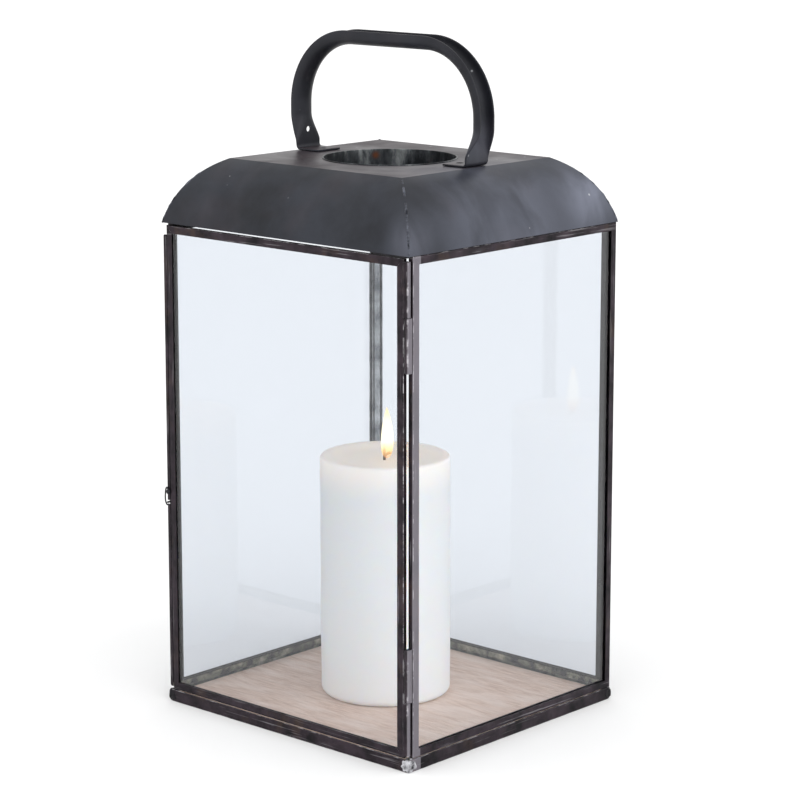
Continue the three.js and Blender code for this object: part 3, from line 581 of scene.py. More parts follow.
def steel_sheet(name, dark, light, highlight_spots):
    """Steel sheet with a thin black oxide under wax: blue-grey, satin, with brown heat tint and faces that
    look up painted paler.
    The spots are pale places of painted highlight, streaked by the wipe marks, as centre, radius and
    strength."""
    material, tree, output, coordinates = new_material(name)
    place = (coordinates, "Object")
    clouds = add_node(
        tree, "ShaderNodeTexNoise", None,
        {"Vector": place, "Scale": 22.0, "Detail": 6.0, "Roughness": 0.6},
    )
    spread = add_node(
        tree, "ShaderNodeMapRange", None,
        {"Value": (clouds, "Fac"), "From Min": 0.35, "From Max": 0.65, "To Min": 0.0, "To Max": 1.0},
    )
    base = add_node(
        tree, "ShaderNodeMix", {"data_type": "RGBA"}, {"Factor": (spread, "Result"), 6: dark, 7: light},
    )
    # Brown-violet heat tint in soft patches about 40 mm across, and the faces that look up painted lighter
    # and browner: painted sheen of the light from above.
    tint = add_node(tree, "ShaderNodeTexNoise", None, {"Vector": place, "Scale": 24.0, "Detail": 3.0})
    parts = add_node(tree, "ShaderNodeSeparateXYZ", None, {"Vector": (coordinates, "Normal")})
    top_sheen_painted = add_node(
        tree, "ShaderNodeMapRange", None,
        {"Value": (parts, "Z"), "From Min": 0.9, "From Max": 0.99, "To Min": 0.0, "To Max": 0.7},
    )
    patches = add_node(
        tree, "ShaderNodeMapRange", None,
        {"Value": (tint, "Fac"), "From Min": 0.5, "From Max": 0.72, "To Min": 0.0, "To Max": 0.3},
    )
    tint_and_top_sheen = add_node(
        tree, "ShaderNodeMath", {"operation": "ADD", "use_clamp": True},
        {0: (top_sheen_painted, "Result"), 1: (patches, "Result")},
    )
    surface = add_node(
        tree, "ShaderNodeMix", {"data_type": "RGBA"},
        {"Factor": (tint_and_top_sheen, "Value"), 6: (base, "Result"), 7: linear("#3b3236")},
    )
    # Wipe marks run up the slope and are some 8 mm wide.
    squeeze = add_node(tree, "ShaderNodeMapping", None, {"Vector": place, "Scale": (60.0, 60.0, 22.0)})
    wipes = add_node(
        tree, "ShaderNodeTexNoise", None,
        {"Vector": (squeeze, "Vector"), "Scale": 0.6, "Detail": 4.0, "Roughness": 0.5, "Distortion": 0.4},
    )
    wipe_and_highlight_streaks = add_node(
        tree, "ShaderNodeMapRange", None,
        {"Value": (wipes, "Fac"), "From Min": 0.38, "From Max": 0.6, "To Min": 0.5, "To Max": 1.0},
    )
    # Pale spots of painted highlight, streaked by the wipe marks.
    for centre, radius, strength in highlight_spots:
        spot = spot_mask(tree, place, centre, radius, strength)
        painted_highlight = add_node(
            tree, "ShaderNodeMath", {"operation": "MULTIPLY"}, {0: (spot, "Result"), 1: (wipe_and_highlight_streaks, "Result")},
        )
        surface = add_node(
            tree, "ShaderNodeMix", {"data_type": "RGBA"},
            {"Factor": (painted_highlight, "Value"), 6: (surface, "Result"), 7: linear("#7d8190")},
        )
    # Flux specks; real ones are 0.3 mm and are drawn 0.8 mm wide to show.
    specks = add_node(tree, "ShaderNodeTexVoronoi", None, {"Vector": place, "Scale": 90.0})
    speck_mask = add_node(
        tree, "ShaderNodeMapRange", None,
        {"Value": (specks, "Distance"), "From Min": 0.05, "From Max": 0.09, "To Min": 1.0, "To Max": 0.0},
    )
    few = add_node(tree, "ShaderNodeTexNoise", None, {"Vector": place, "Scale": 30.0})
    few_mask = add_node(
        tree, "ShaderNodeMapRange", None,
        {"Value": (few, "Fac"), "From Min": 0.56, "From Max": 0.62, "To Min": 0.0, "To Max": 0.8},
    )
    dots = add_node(
        tree, "ShaderNodeMath", {"operation": "MULTIPLY"},
        {0: (speck_mask, "Result"), 1: (few_mask, "Result")},
    )
    colour_out = add_node(
        tree, "ShaderNodeMix", {"data_type": "RGBA"},
        {"Factor": (dots, "Value"), 6: (surface, "Result"), 7: linear("#b3b4b8")},
    )
    roughness = add_node(
        tree, "ShaderNodeMapRange", None,
        {"Value": (wipes, "Fac"), "From Min": 0.3, "From Max": 0.7, "To Min": 0.34, "To Max": 0.52},
    )
    dents = add_node(tree, "ShaderNodeTexNoise", None, {"Vector": place, "Scale": 16.0, "Detail": 3.0})
    bump = add_node(
        tree, "ShaderNodeBump", None, {"Height": (dents, "Fac"), "Strength": 0.4, "Distance": 0.0014},
    )
    shader = add_node(
        tree, "ShaderNodeBsdfPrincipled", None,
        {
            "Base Color": (colour_out, "Result"),
            "Metallic": 0.3,
            "Roughness": (roughness, "Result"),
            "Specular IOR Level": 0.3,
            "Normal": (bump, "Normal"),
        },
    )
    tree.links.new(shader.outputs["BSDF"], output.inputs["Surface"])
    return material


def blackened_roof():
    """The roof's sheet, its right side painted paler as a painted highlight of the light from the right,
    most of all near its two hips.
    """
    highlight_spots = (
        ((104, 0, 312), 105, 0.42), ((98, 76, 318), 40, 0.75), ((100, -86, 308), 26, 0.35),
    )
    return steel_sheet("blackened_steel_waxed_roof", shade("sheet_dark"), shade("sheet_light"), highlight_spots)


def blackened_strap():
    """The handle's strap and the small steel parts: darker than the roof, with one small patch of painted
    highlight on the handle's right side.
    """
    highlight_spots = (((66, 0, 350), 20, 0.3),)
    return steel_sheet("blackened_steel_waxed_strap", shade("handle_dark"), shade("handle_light"), highlight_spots)


def bare_zinc():
    """Galvanised zinc sheet left bare: cloudy grey with vertical runs and a rust spot."""
    material, tree, output, coordinates = new_material("galvanised_zinc_bare")
    place = (coordinates, "Object")
    squeeze = add_node(tree, "ShaderNodeMapping", None, {"Vector": place, "Scale": (1.0, 1.0, 0.4)})
    clouds = add_node(
        tree, "ShaderNodeTexNoise", None,
        {"Vector": (squeeze, "Vector"), "Scale": 60.0, "Detail": 6.0, "Roughness": 0.65},
    )
    tone = add_node(tree, "ShaderNodeValToRGB", None, {"Fac": (clouds, "Fac")})
    tone.color_ramp.elements[0].position, tone.color_ramp.elements[0].color = 0.42, linear("#1e2023")
    tone.color_ramp.elements[1].position, tone.color_ramp.elements[1].color = 0.7, shade("zinc")
    tone.color_ramp.elements.new(0.54).color = linear("#45484b")
    # One rust spot on the inner wall, about 7 mm across.
    rust = spot_mask(tree, place, (-31.9, 22.2, 334.5), 3.6, 0.9)
    colour_out = add_node(
        tree, "ShaderNodeMix", {"data_type": "RGBA"},
        {"Factor": (rust, "Result"), 6: (tone, "Color"), 7: linear("#6b3c1e")},
    )
    roughness = add_node(
        tree, "ShaderNodeMapRange", None,
        {"Value": (clouds, "Fac"), "From Min": 0.3, "From Max": 0.7, "To Min": 0.5, "To Max": 0.32},
    )
    shader = add_node(
        tree, "ShaderNodeBsdfPrincipled", None,
        {"Base Color": (colour_out, "Result"), "Metallic": 0.85, "Roughness": (roughness, "Result")},
    )
    tree.links.new(shader.outputs["BSDF"], output.inputs["Surface"])
    return material


def set_solder(name, dark, light):
    """Tin solder set in a seam: lumpy and silvery under a dull skin."""
    material, tree, output, coordinates = new_material(name)
    lumps = add_node(
        tree, "ShaderNodeTexNoise", None,
        {"Vector": (coordinates, "Object"), "Scale": 260.0, "Detail": 4.0, "Roughness": 0.6},
    )
    spread = add_node(
        tree, "ShaderNodeMapRange", None,
        {"Value": (lumps, "Fac"), "From Min": 0.36, "From Max": 0.62, "To Min": 0.0, "To Max": 1.0},
    )
    tone = add_node(
        tree, "ShaderNodeMix", {"data_type": "RGBA"}, {"Factor": (spread, "Result"), 6: dark, 7: light},
    )
    bump = add_node(
        tree, "ShaderNodeBump", None, {"Height": (lumps, "Fac"), "Strength": 0.8, "Distance": 0.0012},
    )
    shader = add_node(
        tree, "ShaderNodeBsdfPrincipled", None,
        {"Base Color": (tone, "Result"), "Metallic": 0.8, "Roughness": 0.42, "Normal": (bump, "Normal")},
    )
    tree.links.new(shader.outputs["BSDF"], output.inputs["Surface"])
    return material


def corner_solder():
    """Bright solder, partly blackened, in the tray's corners."""
    return set_solder("tin_solder_set", linear("#1d1c20"), shade("solder"))


def seam_solder():
    """Blackened solder along the roof's hips, rubbed pale where it stands proud."""
    return set_solder("tin_solder_blackened", linear("#1f2127"), linear("#5f626c"))


def black_solder():
    """Solder under the patina."""
    return set_solder("tin_solder_black", linear("#0d0c0e"), linear("#27252a"))


def float_glass():
    """Clear float glass: a faint blue tint and a clean mirror gleam. Light reaches what is behind it."""
    material, tree, output, coordinates = new_material("float_glass_clear")
    wave = add_node(
        tree, "ShaderNodeTexNoise", None, {"Vector": (coordinates, "Object"), "Scale": 9.0, "Detail": 1.0},
    )
    bump = add_node(
        tree, "ShaderNodeBump", None, {"Height": (wave, "Fac"), "Strength": 0.05, "Distance": 0.0008},
    )
    glass = add_node(
        tree, "ShaderNodeBsdfPrincipled", None,
        {
            "Base Color": shade("glass"),
            "Roughness": 0.0,
            "IOR": 1.5,
            "Transmission Weight": 1.0,
            "Normal": (bump, "Normal"),
        },
    )
    clear = add_node(tree, "ShaderNodeBsdfTransparent", None, {"Color": (1.0, 1.0, 1.0, 1.0)})
    rays = add_node(tree, "ShaderNodeLightPath")
    mix = add_node(
        tree, "ShaderNodeMixShader", None,
        {0: (rays, "Is Shadow Ray"), 1: (glass, "BSDF"), 2: (clear, "BSDF")},
    )
    tree.links.new(mix.outputs["Shader"], output.inputs["Surface"])
    return material


def whitewashed_board():
    """Planed softwood under thinned white paint: pinkish beige, matt, with fine soft grain."""
    material, tree, output, coordinates = new_material("whitewashed_softwood_planed")
    place = (coordinates, "Object")
    # Grain lines are 0.6 mm wide and run along X for some 15 mm.
    squeeze = add_node(tree, "ShaderNodeMapping", None, {"Vector": place, "Scale": (80.0, 1250.0, 120.0)})
    grain = add_node(
        tree, "ShaderNodeTexNoise", None,
        {"Vector": (squeeze, "Vector"), "Scale": 1.0, "Detail": 4.0, "Roughness": 0.6, "Distortion": 0.3},
    )
    grain_mask = add_node(
        tree, "ShaderNodeMapRange", None,
        {"Value": (grain, "Fac"), "From Min": 0.42, "From Max": 0.6, "To Min": 0.0, "To Max": 1.0},
    )
    lined = add_node(
        tree, "ShaderNodeMix", {"data_type": "RGBA"},
        {"Factor": (grain_mask, "Result"), 6: shade("wood"), 7: shade("grain")},
    )
    # The wash lies unevenly, in brush strokes about 20 mm long.
    strokes = add_node(tree, "ShaderNodeMapping", None, {"Vector": place, "Scale": (30.0, 120.0, 60.0)})
    brushed = add_node(
        tree, "ShaderNodeTexNoise", None, {"Vector": (strokes, "Vector"), "Scale": 1.0, "Detail": 3.0},
    )
    wash_mask = add_node(
        tree, "ShaderNodeMapRange", None,
        {"Value": (brushed, "Fac"), "From Min": 0.42, "From Max": 0.66, "To Min": 0.0, "To Max": 0.6},
    )
    colour_out = add_node(
        tree, "ShaderNodeMix", {"data_type": "RGBA"},
        {"Factor": (wash_mask, "Result"), 6: (lined, "Result"), 7: linear("#eedbcf")},
    )
    bump = add_node(
        tree, "ShaderNodeBump", None, {"Height": (grain, "Fac"), "Strength": 0.15, "Distance": 0.0003},
    )
    shader = add_node(
        tree, "ShaderNodeBsdfPrincipled", None,
        {"Base Color": (colour_out, "Result"), "Roughness": 0.75, "Normal": (bump, "Normal")},
    )
    tree.links.new(shader.outputs["BSDF"], output.inputs["Surface"])
    return material


def cast_wax():
    """Ivory paraffin wax, cast: milky, with light going some millimetres in, and towards the brim painted
    warmer and
    glowing: painted light of the flame."""
    _, high = cad_box("candle_wax")
    glow_depth, brim_edge = 22, 1
    material, tree, output, coordinates = new_material("paraffin_wax_ivory_cast")
    place = (coordinates, "Object")
    clouds = add_node(tree, "ShaderNodeTexNoise", None, {"Vector": place, "Scale": 26.0, "Detail": 4.0})
    milky = add_node(
        tree, "ShaderNodeMix", {"data_type": "RGBA"},
        {"Factor": (clouds, "Fac"), 6: linear("#f4f5f3"), 7: shade("wax")},
    )
    parts = add_node(tree, "ShaderNodeSeparateXYZ", None, {"Vector": place})
    # Towards the brim the wax is painted warmer and given a faint glow: painted light of the flame.
    near_brim = add_node(
        tree, "ShaderNodeMapRange", {"interpolation_type": "SMOOTHSTEP"},
        {
            "Value": (parts, "Z"),
            "From Min": (high.z - glow_depth) * MM,
            "From Max": (high.z - brim_edge) * MM,
            "To Min": 0.0,
            "To Max": 1.0,
        },
    )
    colour_out = add_node(
        tree, "ShaderNodeMix", {"data_type": "RGBA"},
        {"Factor": (near_brim, "Result"), 6: (milky, "Result"), 7: shade("brim")},
    )
    lit = add_node(
        tree, "ShaderNodeMix", {"data_type": "RGBA"},
        {"Factor": (near_brim, "Result"), 6: linear("#000000"), 7: linear("#ffe3d2")},
    )
    bump = add_node(
        tree, "ShaderNodeBump", None, {"Height": (clouds, "Fac"), "Strength": 0.12, "Distance": 0.001},
    )
    shader = add_node(
        tree, "ShaderNodeBsdfPrincipled", None,
        {
            "Base Color": (colour_out, "Result"),
            "Roughness": 0.5,
            "IOR": 1.44,
            "Subsurface Weight": 0.8,
            "Subsurface Radius": (1.0, 0.8, 0.6),
            "Subsurface Scale": 0.008,
            "Emission Color": (lit, "Result"),
            "Emission Strength": 0.16,
            "Normal": (bump, "Normal"),
        },
    )
    tree.links.new(shader.outputs["BSDF"], output.inputs["Surface"])
    return material


def charred_cotton():
    """Braided cotton wick, burnt: dull brown-black."""
    material, tree, output, coordinates = new_material("cotton_wick_charred")
    braid = add_node(
        tree, "ShaderNodeTexWave", {"bands_direction": "DIAGONAL"},
        {"Vector": (coordinates, "Object"), "Scale": 260.0, "Distortion": 1.0},
    )
    colour_out = add_node(
        tree, "ShaderNodeMix", {"data_type": "RGBA"},
        {"Factor": (braid, "Fac"), 6: linear("#1b120c"), 7: linear("#4a3424")},
    )
    shader = add_node(
        tree, "ShaderNodeBsdfPrincipled", None, {"Base Color": (colour_out, "Result"), "Roughness": 0.9},
    )
    tree.links.new(shader.outputs["BSDF"], output.inputs["Surface"])
    return material


def burning_gas(low, high):
    """Candle flame: orange and half clear at the wick, white-yellow above, orange at the tip."""
    material, tree, output, coordinates = new_material("candle_flame_glowing")
    parts = add_node(tree, "ShaderNodeSeparateXYZ", None, {"Vector": (coordinates, "Object")})
    height = add_node(
        tree, "ShaderNodeMapRange", None,
        {"Value": (parts, "Z"), "From Min": low, "From Max": high, "To Min": 0.0, "To Max": 1.0},
    )
    tone = add_node(tree, "ShaderNodeValToRGB", None, {"Fac": (height, "Result")})
    tone.color_ramp.elements[0].position, tone.color_ramp.elements[0].color = 0.0, linear("#f2a35c")
    tone.color_ramp.elements[1].position, tone.color_ramp.elements[1].color = 1.0, linear("#ffc98a")
    for position, hex_colour in ((0.18, "#ffd08a"), (0.35, "#fff3cf"), (0.75, "#fff0c8")):
        tone.color_ramp.elements.new(position).color = linear(hex_colour)
    glow = add_node(tree, "ShaderNodeEmission", None, {"Color": (tone, "Color"), "Strength": 1.9})
    clear = add_node(tree, "ShaderNodeBsdfTransparent")
    body = add_node(
        tree, "ShaderNodeMapRange", None,
        {"Value": (height, "Result"), "From Min": 0.0, "From Max": 0.3, "To Min": 0.3, "To Max": 0.95},
    )
    mix = add_node(
        tree, "ShaderNodeMixShader", None, {0: (body, "Result"), 1: (clear, "BSDF"), 2: (glow, "Emission")},
    )
    tree.links.new(mix.outputs["Shader"], output.inputs["Surface"])
    return material


def studio_floor():
    """Matt white studio floor, plain."""
    material, tree, output, _ = new_material("studio_floor_matt_white")
    shader = add_node(
        tree, "ShaderNodeBsdfPrincipled", None,
        {"Base Color": shade("floor"), "Roughness": 0.9, "Specular IOR Level": 0.1},
    )
    tree.links.new(shader.outputs["BSDF"], output.inputs["Surface"])
    return material


FINISHES = {
    "zinc_black": blackened_zinc,
    "roof_black": blackened_roof,
    "steel_black": blackened_strap,
    "zinc_bare": bare_zinc,
    "solder": corner_solder,
    "seam": seam_solder,
    "black_solder": black_solder,
    "glass": float_glass,
    "board": whitewashed_board,
    "wax": cast_wax,
    "wick": charred_cotton,
    "floor": studio_floor,
}


def finish(name):
    """The shared material of a finish, made the first time it is asked for."""
    if name not in MATERIALS:
        MATERIALS[name] = FINISHES[name]()
    return MATERIALS[name]


# ---- base ---------------------------------------------------------------------------------


def build_tray():
    """The base tray, folded from sheet, open at the top."""
    low, high = cad_box("base_tray")
    inset = Vector((mm("tray_inset"), mm("tray_inset"), 0))
    low, high = low + inset, high - inset
    bm = bmesh.new()
    block(bm, low, high)
    top = max(bm.faces, key=lambda f: f.calc_center_median().z)
    bmesh.ops.delete(bm, geom=[top], context="FACES_ONLY")
    upright = [e for e in bm.edges if abs((e.verts[0].co - e.verts[1].co).z) > 1]
    round_edges(bm, upright, mm("tray_corner"), 8)
    thicken(bm, mm("sheet"), Vector((0, 0, -1)))
    round_edges(bm, sharp_edges_at(bm, low.z), mm("tray_fold"), 3)
    round_edges(bm, sharp_edges_at(bm, high.z), 0.4 * mm("sheet"), 3)
    place_piece("base_tray_folded", bm, finish("zinc_black"), "root", ["base_tray"])


def soft_limit(value, limit, softness):
    """Keeps a value under a limit, closing in on it smoothly."""
    start = limit - softness
    return value if value <= start else start + softness * math.tanh((value - start) / softness)


def build_corner_solder():
    """Solder run into the tray's four corners, standing a little proud of its walls."""
    _, high = cad_box("base_tray")
    sunk = 0.62  # share of a blob's radius that lies inside the tray's outer faces
    blobs = (
        ("front_right", 1, -1, (4.2, 4.2, 4.2), "solder"),
        ("front_left", -1, -1, (3.6, 3.6, 4.0), "black_solder"),
        ("back_right", 1, 1, (3.4, 3.6, 4.0), "black_solder"),
        ("back_left", -1, 1, (3.6, 3.4, 4.0), "black_solder"),
    )
    for name, side_x, side_y, size, skin in blobs:
        bm = bmesh.new()
        bmesh.ops.create_icosphere(bm, subdivisions=5, radius=1.0)
        for vert in bm.verts:
            lump = 1.0 + 0.3 * noise.noise(vert.co * 1.9 + Vector((side_x, side_y, 3)))
            out_x = size[0] * (vert.co.x * side_x * lump - sunk)
            out_y = size[1] * (vert.co.y * side_y * lump - sunk)
            up = high.z * 0.5 + size[2] * vert.co.z * lump
            vert.co = Vector((
                side_x * (high.x + soft_limit(out_x, 0.0, 0.5)),
                side_y * (high.y + soft_limit(out_y, 0.0, 0.5)),
                soft_limit(-soft_limit(-up, -0.05, 0.6), high.z + 0.5, 0.8),
            ))
        bmesh.ops.recalc_face_normals(bm, faces=bm.faces)
        place_piece(
            f"corner_solder_{name}", bm, finish(skin), "root", even=False, sharp=80,
        )


def build_board():
    """The wooden board that lies in the tray."""
    low, high = cad_box("floor_board")
    gap = Vector((mm("board_gap"), mm("board_gap"), 0))
    bm = bmesh.new()
    block(bm, low + gap, high - gap)
    round_edges(bm, bm.edges[:], mm("board_edge"), 3)
    place_piece("floor_board_planed", bm, finish("board"), "root", ["floor_board"])


# ---- glazed panels ------------------------------------------------------------------------

PANELS = {
    # prefix: (direction the panel looks, left stile and right stile as seen from outside)
    "right": (Vector((1, 0, 0)), ("front_stile", "back_stile")),
    "left": (Vector((-1, 0, 0)), ("back_stile", "front_stile")),
    "back": (Vector((0, 1, 0)), ("right_stile", "left_stile")),
    "door": (Vector((0, -1, 0)), ("latch_stile", "hinge_stile")),
}


def folded_channel(tall, width, depth):
    """A glazing channel along Z, its web at X = 0 and its open side at X = width, its ends mitred."""
    mitre_gap = 0.06
    bm = bmesh.new()
    block(bm, (0, 0, 0), (width, depth, tall))
    gone = [f for f in bm.faces if f.normal.x > 0.9 or abs(f.normal.z) > 0.9]
    bmesh.ops.delete(bm, geom=gone, context="FACES")
    folds = [e for e in bm.edges if len(e.link_faces) == 2]
    round_edges(bm, folds, mm("channel_fold"), 4)
    thicken(bm, mm("channel_wall"), Vector((-1, 0, 0)))
    for height, tilt in ((0.0, 1.0), (tall, -1.0)):
        side = Vector((1, 0, -tilt)).normalized()
        bmesh.ops.bisect_plane(
            bm, geom=bm.verts[:] + bm.edges[:] + bm.faces[:], dist=MERGE,
            plane_co=Vector((0, 0, height + tilt * mitre_gap)), plane_no=side, clear_outer=True,
        )
        bmesh.ops.holes_fill(bm, edges=[e for e in bm.edges if e.is_boundary])
    bmesh.ops.recalc_face_normals(bm, faces=bm.faces)
    return bm


def build_panel(prefix, body):
    """The four channels of one glazed panel."""
    outward, stiles = PANELS[prefix]
    rails = [f"{prefix}_bottom_rail", f"{prefix}_top_rail"]
    low, high = cad_box(*rails, *[f"{prefix}_{s}" for s in stiles])
    if prefix == "door":
        low.z -= mm("door_drop")
    inward = -outward
    across = inward.cross(UP)
    size = high - low
    width = abs(size.dot(across))
    depth = abs(size.dot(inward))
    start = Vector([low[i] if (across + inward)[i] > 0 else high[i] for i in range(2)] + [low.z])
    panel = Matrix.Translation(start) @ Matrix((across, inward, UP)).transposed().to_4x4()
    channels = (
        (rails[0], (width, 0), (0, 1), (-1, 0), width),
        (rails[1], (0, size.z), (0, -1), (1, 0), width),
        (f"{prefix}_{stiles[0]}", (0, 0), (1, 0), (0, 1), size.z),
        (f"{prefix}_{stiles[1]}", (width, size.z), (-1, 0), (0, -1), size.z),
    )
    for node, corner, into, along, tall in channels:
        bm = folded_channel(tall, mm("channel_width"), depth)
        axes = ((into[0], 0, into[1]), (0, 1, 0), (along[0], 0, along[1]))
        turn = Matrix(axes).transposed().to_4x4()
        place = panel @ Matrix.Translation((corner[0], 0, corner[1])) @ turn
        bmesh.ops.transform(bm, matrix=place, verts=bm.verts)
        place_piece(f"{node}_folded", bm, finish("zinc_black"), body, [node])


def glaze():
    """Gives the four panes their glass."""
    for prefix in PANELS:
        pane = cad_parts[f"{prefix}_glass"]
        pane.data.materials.clear()
        pane.data.materials.append(finish("glass"))


def build_lip():
    """The door's stop lip, with the rivet's hole and the notch for the keeper."""
    low, high = cad_box("door_stop_lip")
    rivet, keeper = cad_middle("latch_rivet"), cad_middle("latch_keeper_peg")
    corner, edge, rivet_hole, notch_half = 1.1, 0.12, 0.9, 1.2
    bm = bmesh.new()
    block(bm, low, high)
    outer = [e for e in bm.edges if all(abs(v.co.x - low.x) < NEAR for v in e.verts)]
    corners = [e for e in outer if abs((e.verts[0].co - e.verts[1].co).y) > 0.1]
    round_edges(bm, corners, corner, 5)
    hole = bmesh.new()
    rod(hole, rivet_hole, (rivet.x, low.y - 1, rivet.z), (rivet.x, high.y + 1, rivet.z))
    notch = bmesh.new()
    block(
        notch,
        (low.x - 1, low.y - 1, keeper.z - notch_half),
        (keeper.x + notch_half, high.y + 1, keeper.z + notch_half),
    )
    bm = cut_out(bm, [hole, notch])
    round_edges(bm, sharp_edges(bm), edge, 2)
    place_piece("door_stop_lip_strip", bm, finish("zinc_black"), "door", ["door_stop_lip"])


# ---- hinges and latch ---------------------------------------------------------------------

KNUCKLE_TURN = 292  # degrees that the leaf is rolled round the pin
KNUCKLE_SHEET = 0.5
KNUCKLE_BEND = 0.6
KNUCKLE_EDGE = 0.08


def rolled_knuckle(name, start, corner, axis, turn, body):
    """A knuckle rolled from the leaf's own sheet: a flat leaf, one bend, then round the pin."""
    low, high = cad_box(name)
    bm = bmesh.new()
    first, second = bm.verts.new((*start, low.z)), bm.verts.new((*start, high.z))
    edge = bm.edges.new((first, second))
    square = Vector((corner[0] - axis[0], 0)) if turn < 0 else Vector((0, corner[1] - axis[1]))
    tangent = Vector(axis) + (Vector(corner) - Vector(axis)).project(square)
    for point in (corner, tangent):
        edge, ends = extrude_edge(bm, edge)
        step = Vector((*point, 0)) - Vector((*start, 0))
        bmesh.ops.translate(bm, verts=ends, vec=step)
        start = point
    bmesh.ops.spin(
        bm, geom=[edge], cent=(*axis, 0), axis=(0, 0, 1), angle=math.radians(turn), steps=26,
    )
    bmesh.ops.remove_doubles(bm, verts=bm.verts, dist=MERGE)

    def at_corner(vert):
        return abs(vert.co.x - corner[0]) + abs(vert.co.y - corner[1]) < NEAR

    bend = [e for e in bm.edges if len(e.link_faces) == 2 and all(at_corner(v) for v in e.verts)]
    round_edges(bm, bend, KNUCKLE_BEND, 4)
    outwards = Vector((0, -1, 0)) if turn > 0 else Vector((1, 0, 0))
    thicken(bm, KNUCKLE_SHEET, outwards)
    round_edges(bm, sharp_edges(bm, 70), KNUCKLE_EDGE, 1)
    place_piece(f"{name}_rolled", bm, finish("zinc_black"), body, [name], even=False)


def build_hinges():
    """Two hinges: rolled door and frame knuckles on a pin with domed ends."""
    pin_dome = 0.35
    for prefix in ("upper", "lower"):
        pin_low, pin_high = cad_box(f"{prefix}_hinge_pin")
        axis = Vector(((pin_low.x + pin_high.x) / 2, (pin_low.y + pin_high.y) / 2))
        door = f"{prefix}_hinge_door_knuckle"
        low, high = cad_box(door)
        rolled_knuckle(door, (low.x, high.y), (low.x, low.y), tuple(axis), KNUCKLE_TURN, "door")
        post = f"{prefix}_hinge_frame_knuckle"
        low, high = cad_box(post)
        rolled_knuckle(post, (low.x, high.y), (high.x, high.y), tuple(axis), -KNUCKLE_TURN, "root")
        bm = bmesh.new()
        rod(bm, (pin_high.x - pin_low.x) / 2, (*axis, pin_low.z), (*axis, pin_high.z))
        round_edges(bm, sharp_edges(bm), pin_dome, 3)
        place_piece(
            f"{prefix}_hinge_pin_domed", bm, finish("steel_black"), "root",
            [f"{prefix}_hinge_pin"],
        )


def build_hook():
    """The wire hook with its eye."""
    low, high = cad_box("latch_hook")
    peg_low, peg_high = cad_box("latch_keeper_peg")
    pivot = cad_middle("latch_rivet")
    wire, eye = 0.45, 1.2
    y = high.y - wire
    tip = low.z + wire
    reach = pivot.x - low.x - wire
    drop = pivot.z - tip
    # Shares of the reach and of the drop, down the outside of the hook to its foot.
    bends = ((0.1, -0.14), (0.45, -0.32), (0.82, -0.12), (1.0, 0.45), (0.84, 0.82), (0.45, 1.0))
    points = [Vector((pivot.x - reach * out, y, pivot.z - drop * down)) for out, down in bends]
    points += [Vector((peg_low.x + 0.2, y, tip - 0.05)), Vector((peg_high.x + 0.2, y, tip + 0.35))]
    bm = bmesh.new()
    sweep(bm, wire, path_frames(smooth_path(points, 12), Vector((0, 1, 0))), 14)
    close_up(bm)
    ring = bmesh.ops.create_circle(
        bm, radius=wire, segments=14, matrix=Matrix.Translation((pivot.x + eye, y, pivot.z)),
    )["verts"]
    edges = list({e for v in ring for e in v.link_edges})
    bmesh.ops.spin(
        bm, geom=edges, cent=(pivot.x, 0, pivot.z), axis=(0, 1, 0), angle=math.tau, steps=40,
        use_merge=True,
    )
    bmesh.ops.remove_doubles(bm, verts=bm.verts, dist=MERGE)
    bmesh.ops.recalc_face_normals(bm, faces=bm.faces)
    place_piece(
        "latch_hook_wire", bm, finish("steel_black"), "latch_hook", ["latch_hook"],
        even=False,
    )


def build_rivet():
    """The domed rivet that the hook turns on, spun from its half outline."""
    low, high = cad_box("latch_rivet")
    pivot = (low + high) / 2
    head = (high.x - low.x) / 2
    shank, dome, back_end = 0.7, 0.5, high.y - low.y
    outline = [
        (0.0, 0.0), (head * 0.5, 0.04), (head * 0.8, 0.16), (head * 0.97, 0.36), (head, dome),
        (shank, dome), (shank, back_end), (0.0, back_end),
    ]
    bm = bmesh.new()
    verts = [bm.verts.new((pivot.x + out, low.y + back, pivot.z)) for out, back in outline]
    edges = [bm.edges.new(pair) for pair in zip(verts, verts[1:])]
    bmesh.ops.spin(
        bm, geom=edges, cent=(pivot.x, 0, pivot.z), axis=(0, 1, 0), angle=math.tau, steps=32,
        use_merge=True,
    )
    bmesh.ops.remove_doubles(bm, verts=bm.verts, dist=MERGE)
    bmesh.ops.recalc_face_normals(bm, faces=bm.faces)
    place_piece(
        "latch_rivet_domed", bm, finish("steel_black"), "door", ["latch_rivet"],
        even=False,
    )


def build_keeper():
    """The headless peg that keeps the hook."""
    low, high = cad_box("latch_keeper_peg")
    middle = (low + high) / 2
    edge = 0.2
    bm = bmesh.new()
    rod(bm, (high.x - low.x) / 2, (middle.x, low.y, middle.z), (middle.x, high.y, middle.z), 20)
    round_edges(bm, sharp_edges(bm), edge, 3)
    place_piece(
        "latch_keeper_peg_rounded", bm, finish("steel_black"), "root",
        ["latch_keeper_peg"],
    )


# ---- roof ---------------------------------------------------------------------------------

ROOF_STEPS = 28
ROOF_CONTROL = (0.25, 0.73)  # middle point of the curve, as shares of the run and of the rise


def roof_curve(t):
    """Share of the run and of the rise at a share of the roof's curve."""
    run = 2 * t * (1 - t) * ROOF_CONTROL[0] + t * t
    rise = 2 * t * (1 - t) * ROOF_CONTROL[1] + t * t
    return run, rise


def roof_places():
    """Eave half sizes, runs, eave height and rise of the roof, in millimetres."""
    low, high = cad_box("roof_front", "roof_back", "roof_left", "roof_right")
    runs = Vector((mm("roof_run_x"), mm("roof_run_y")))
    return Vector((high.x, high.y)), runs, low.z, high.z - low.z


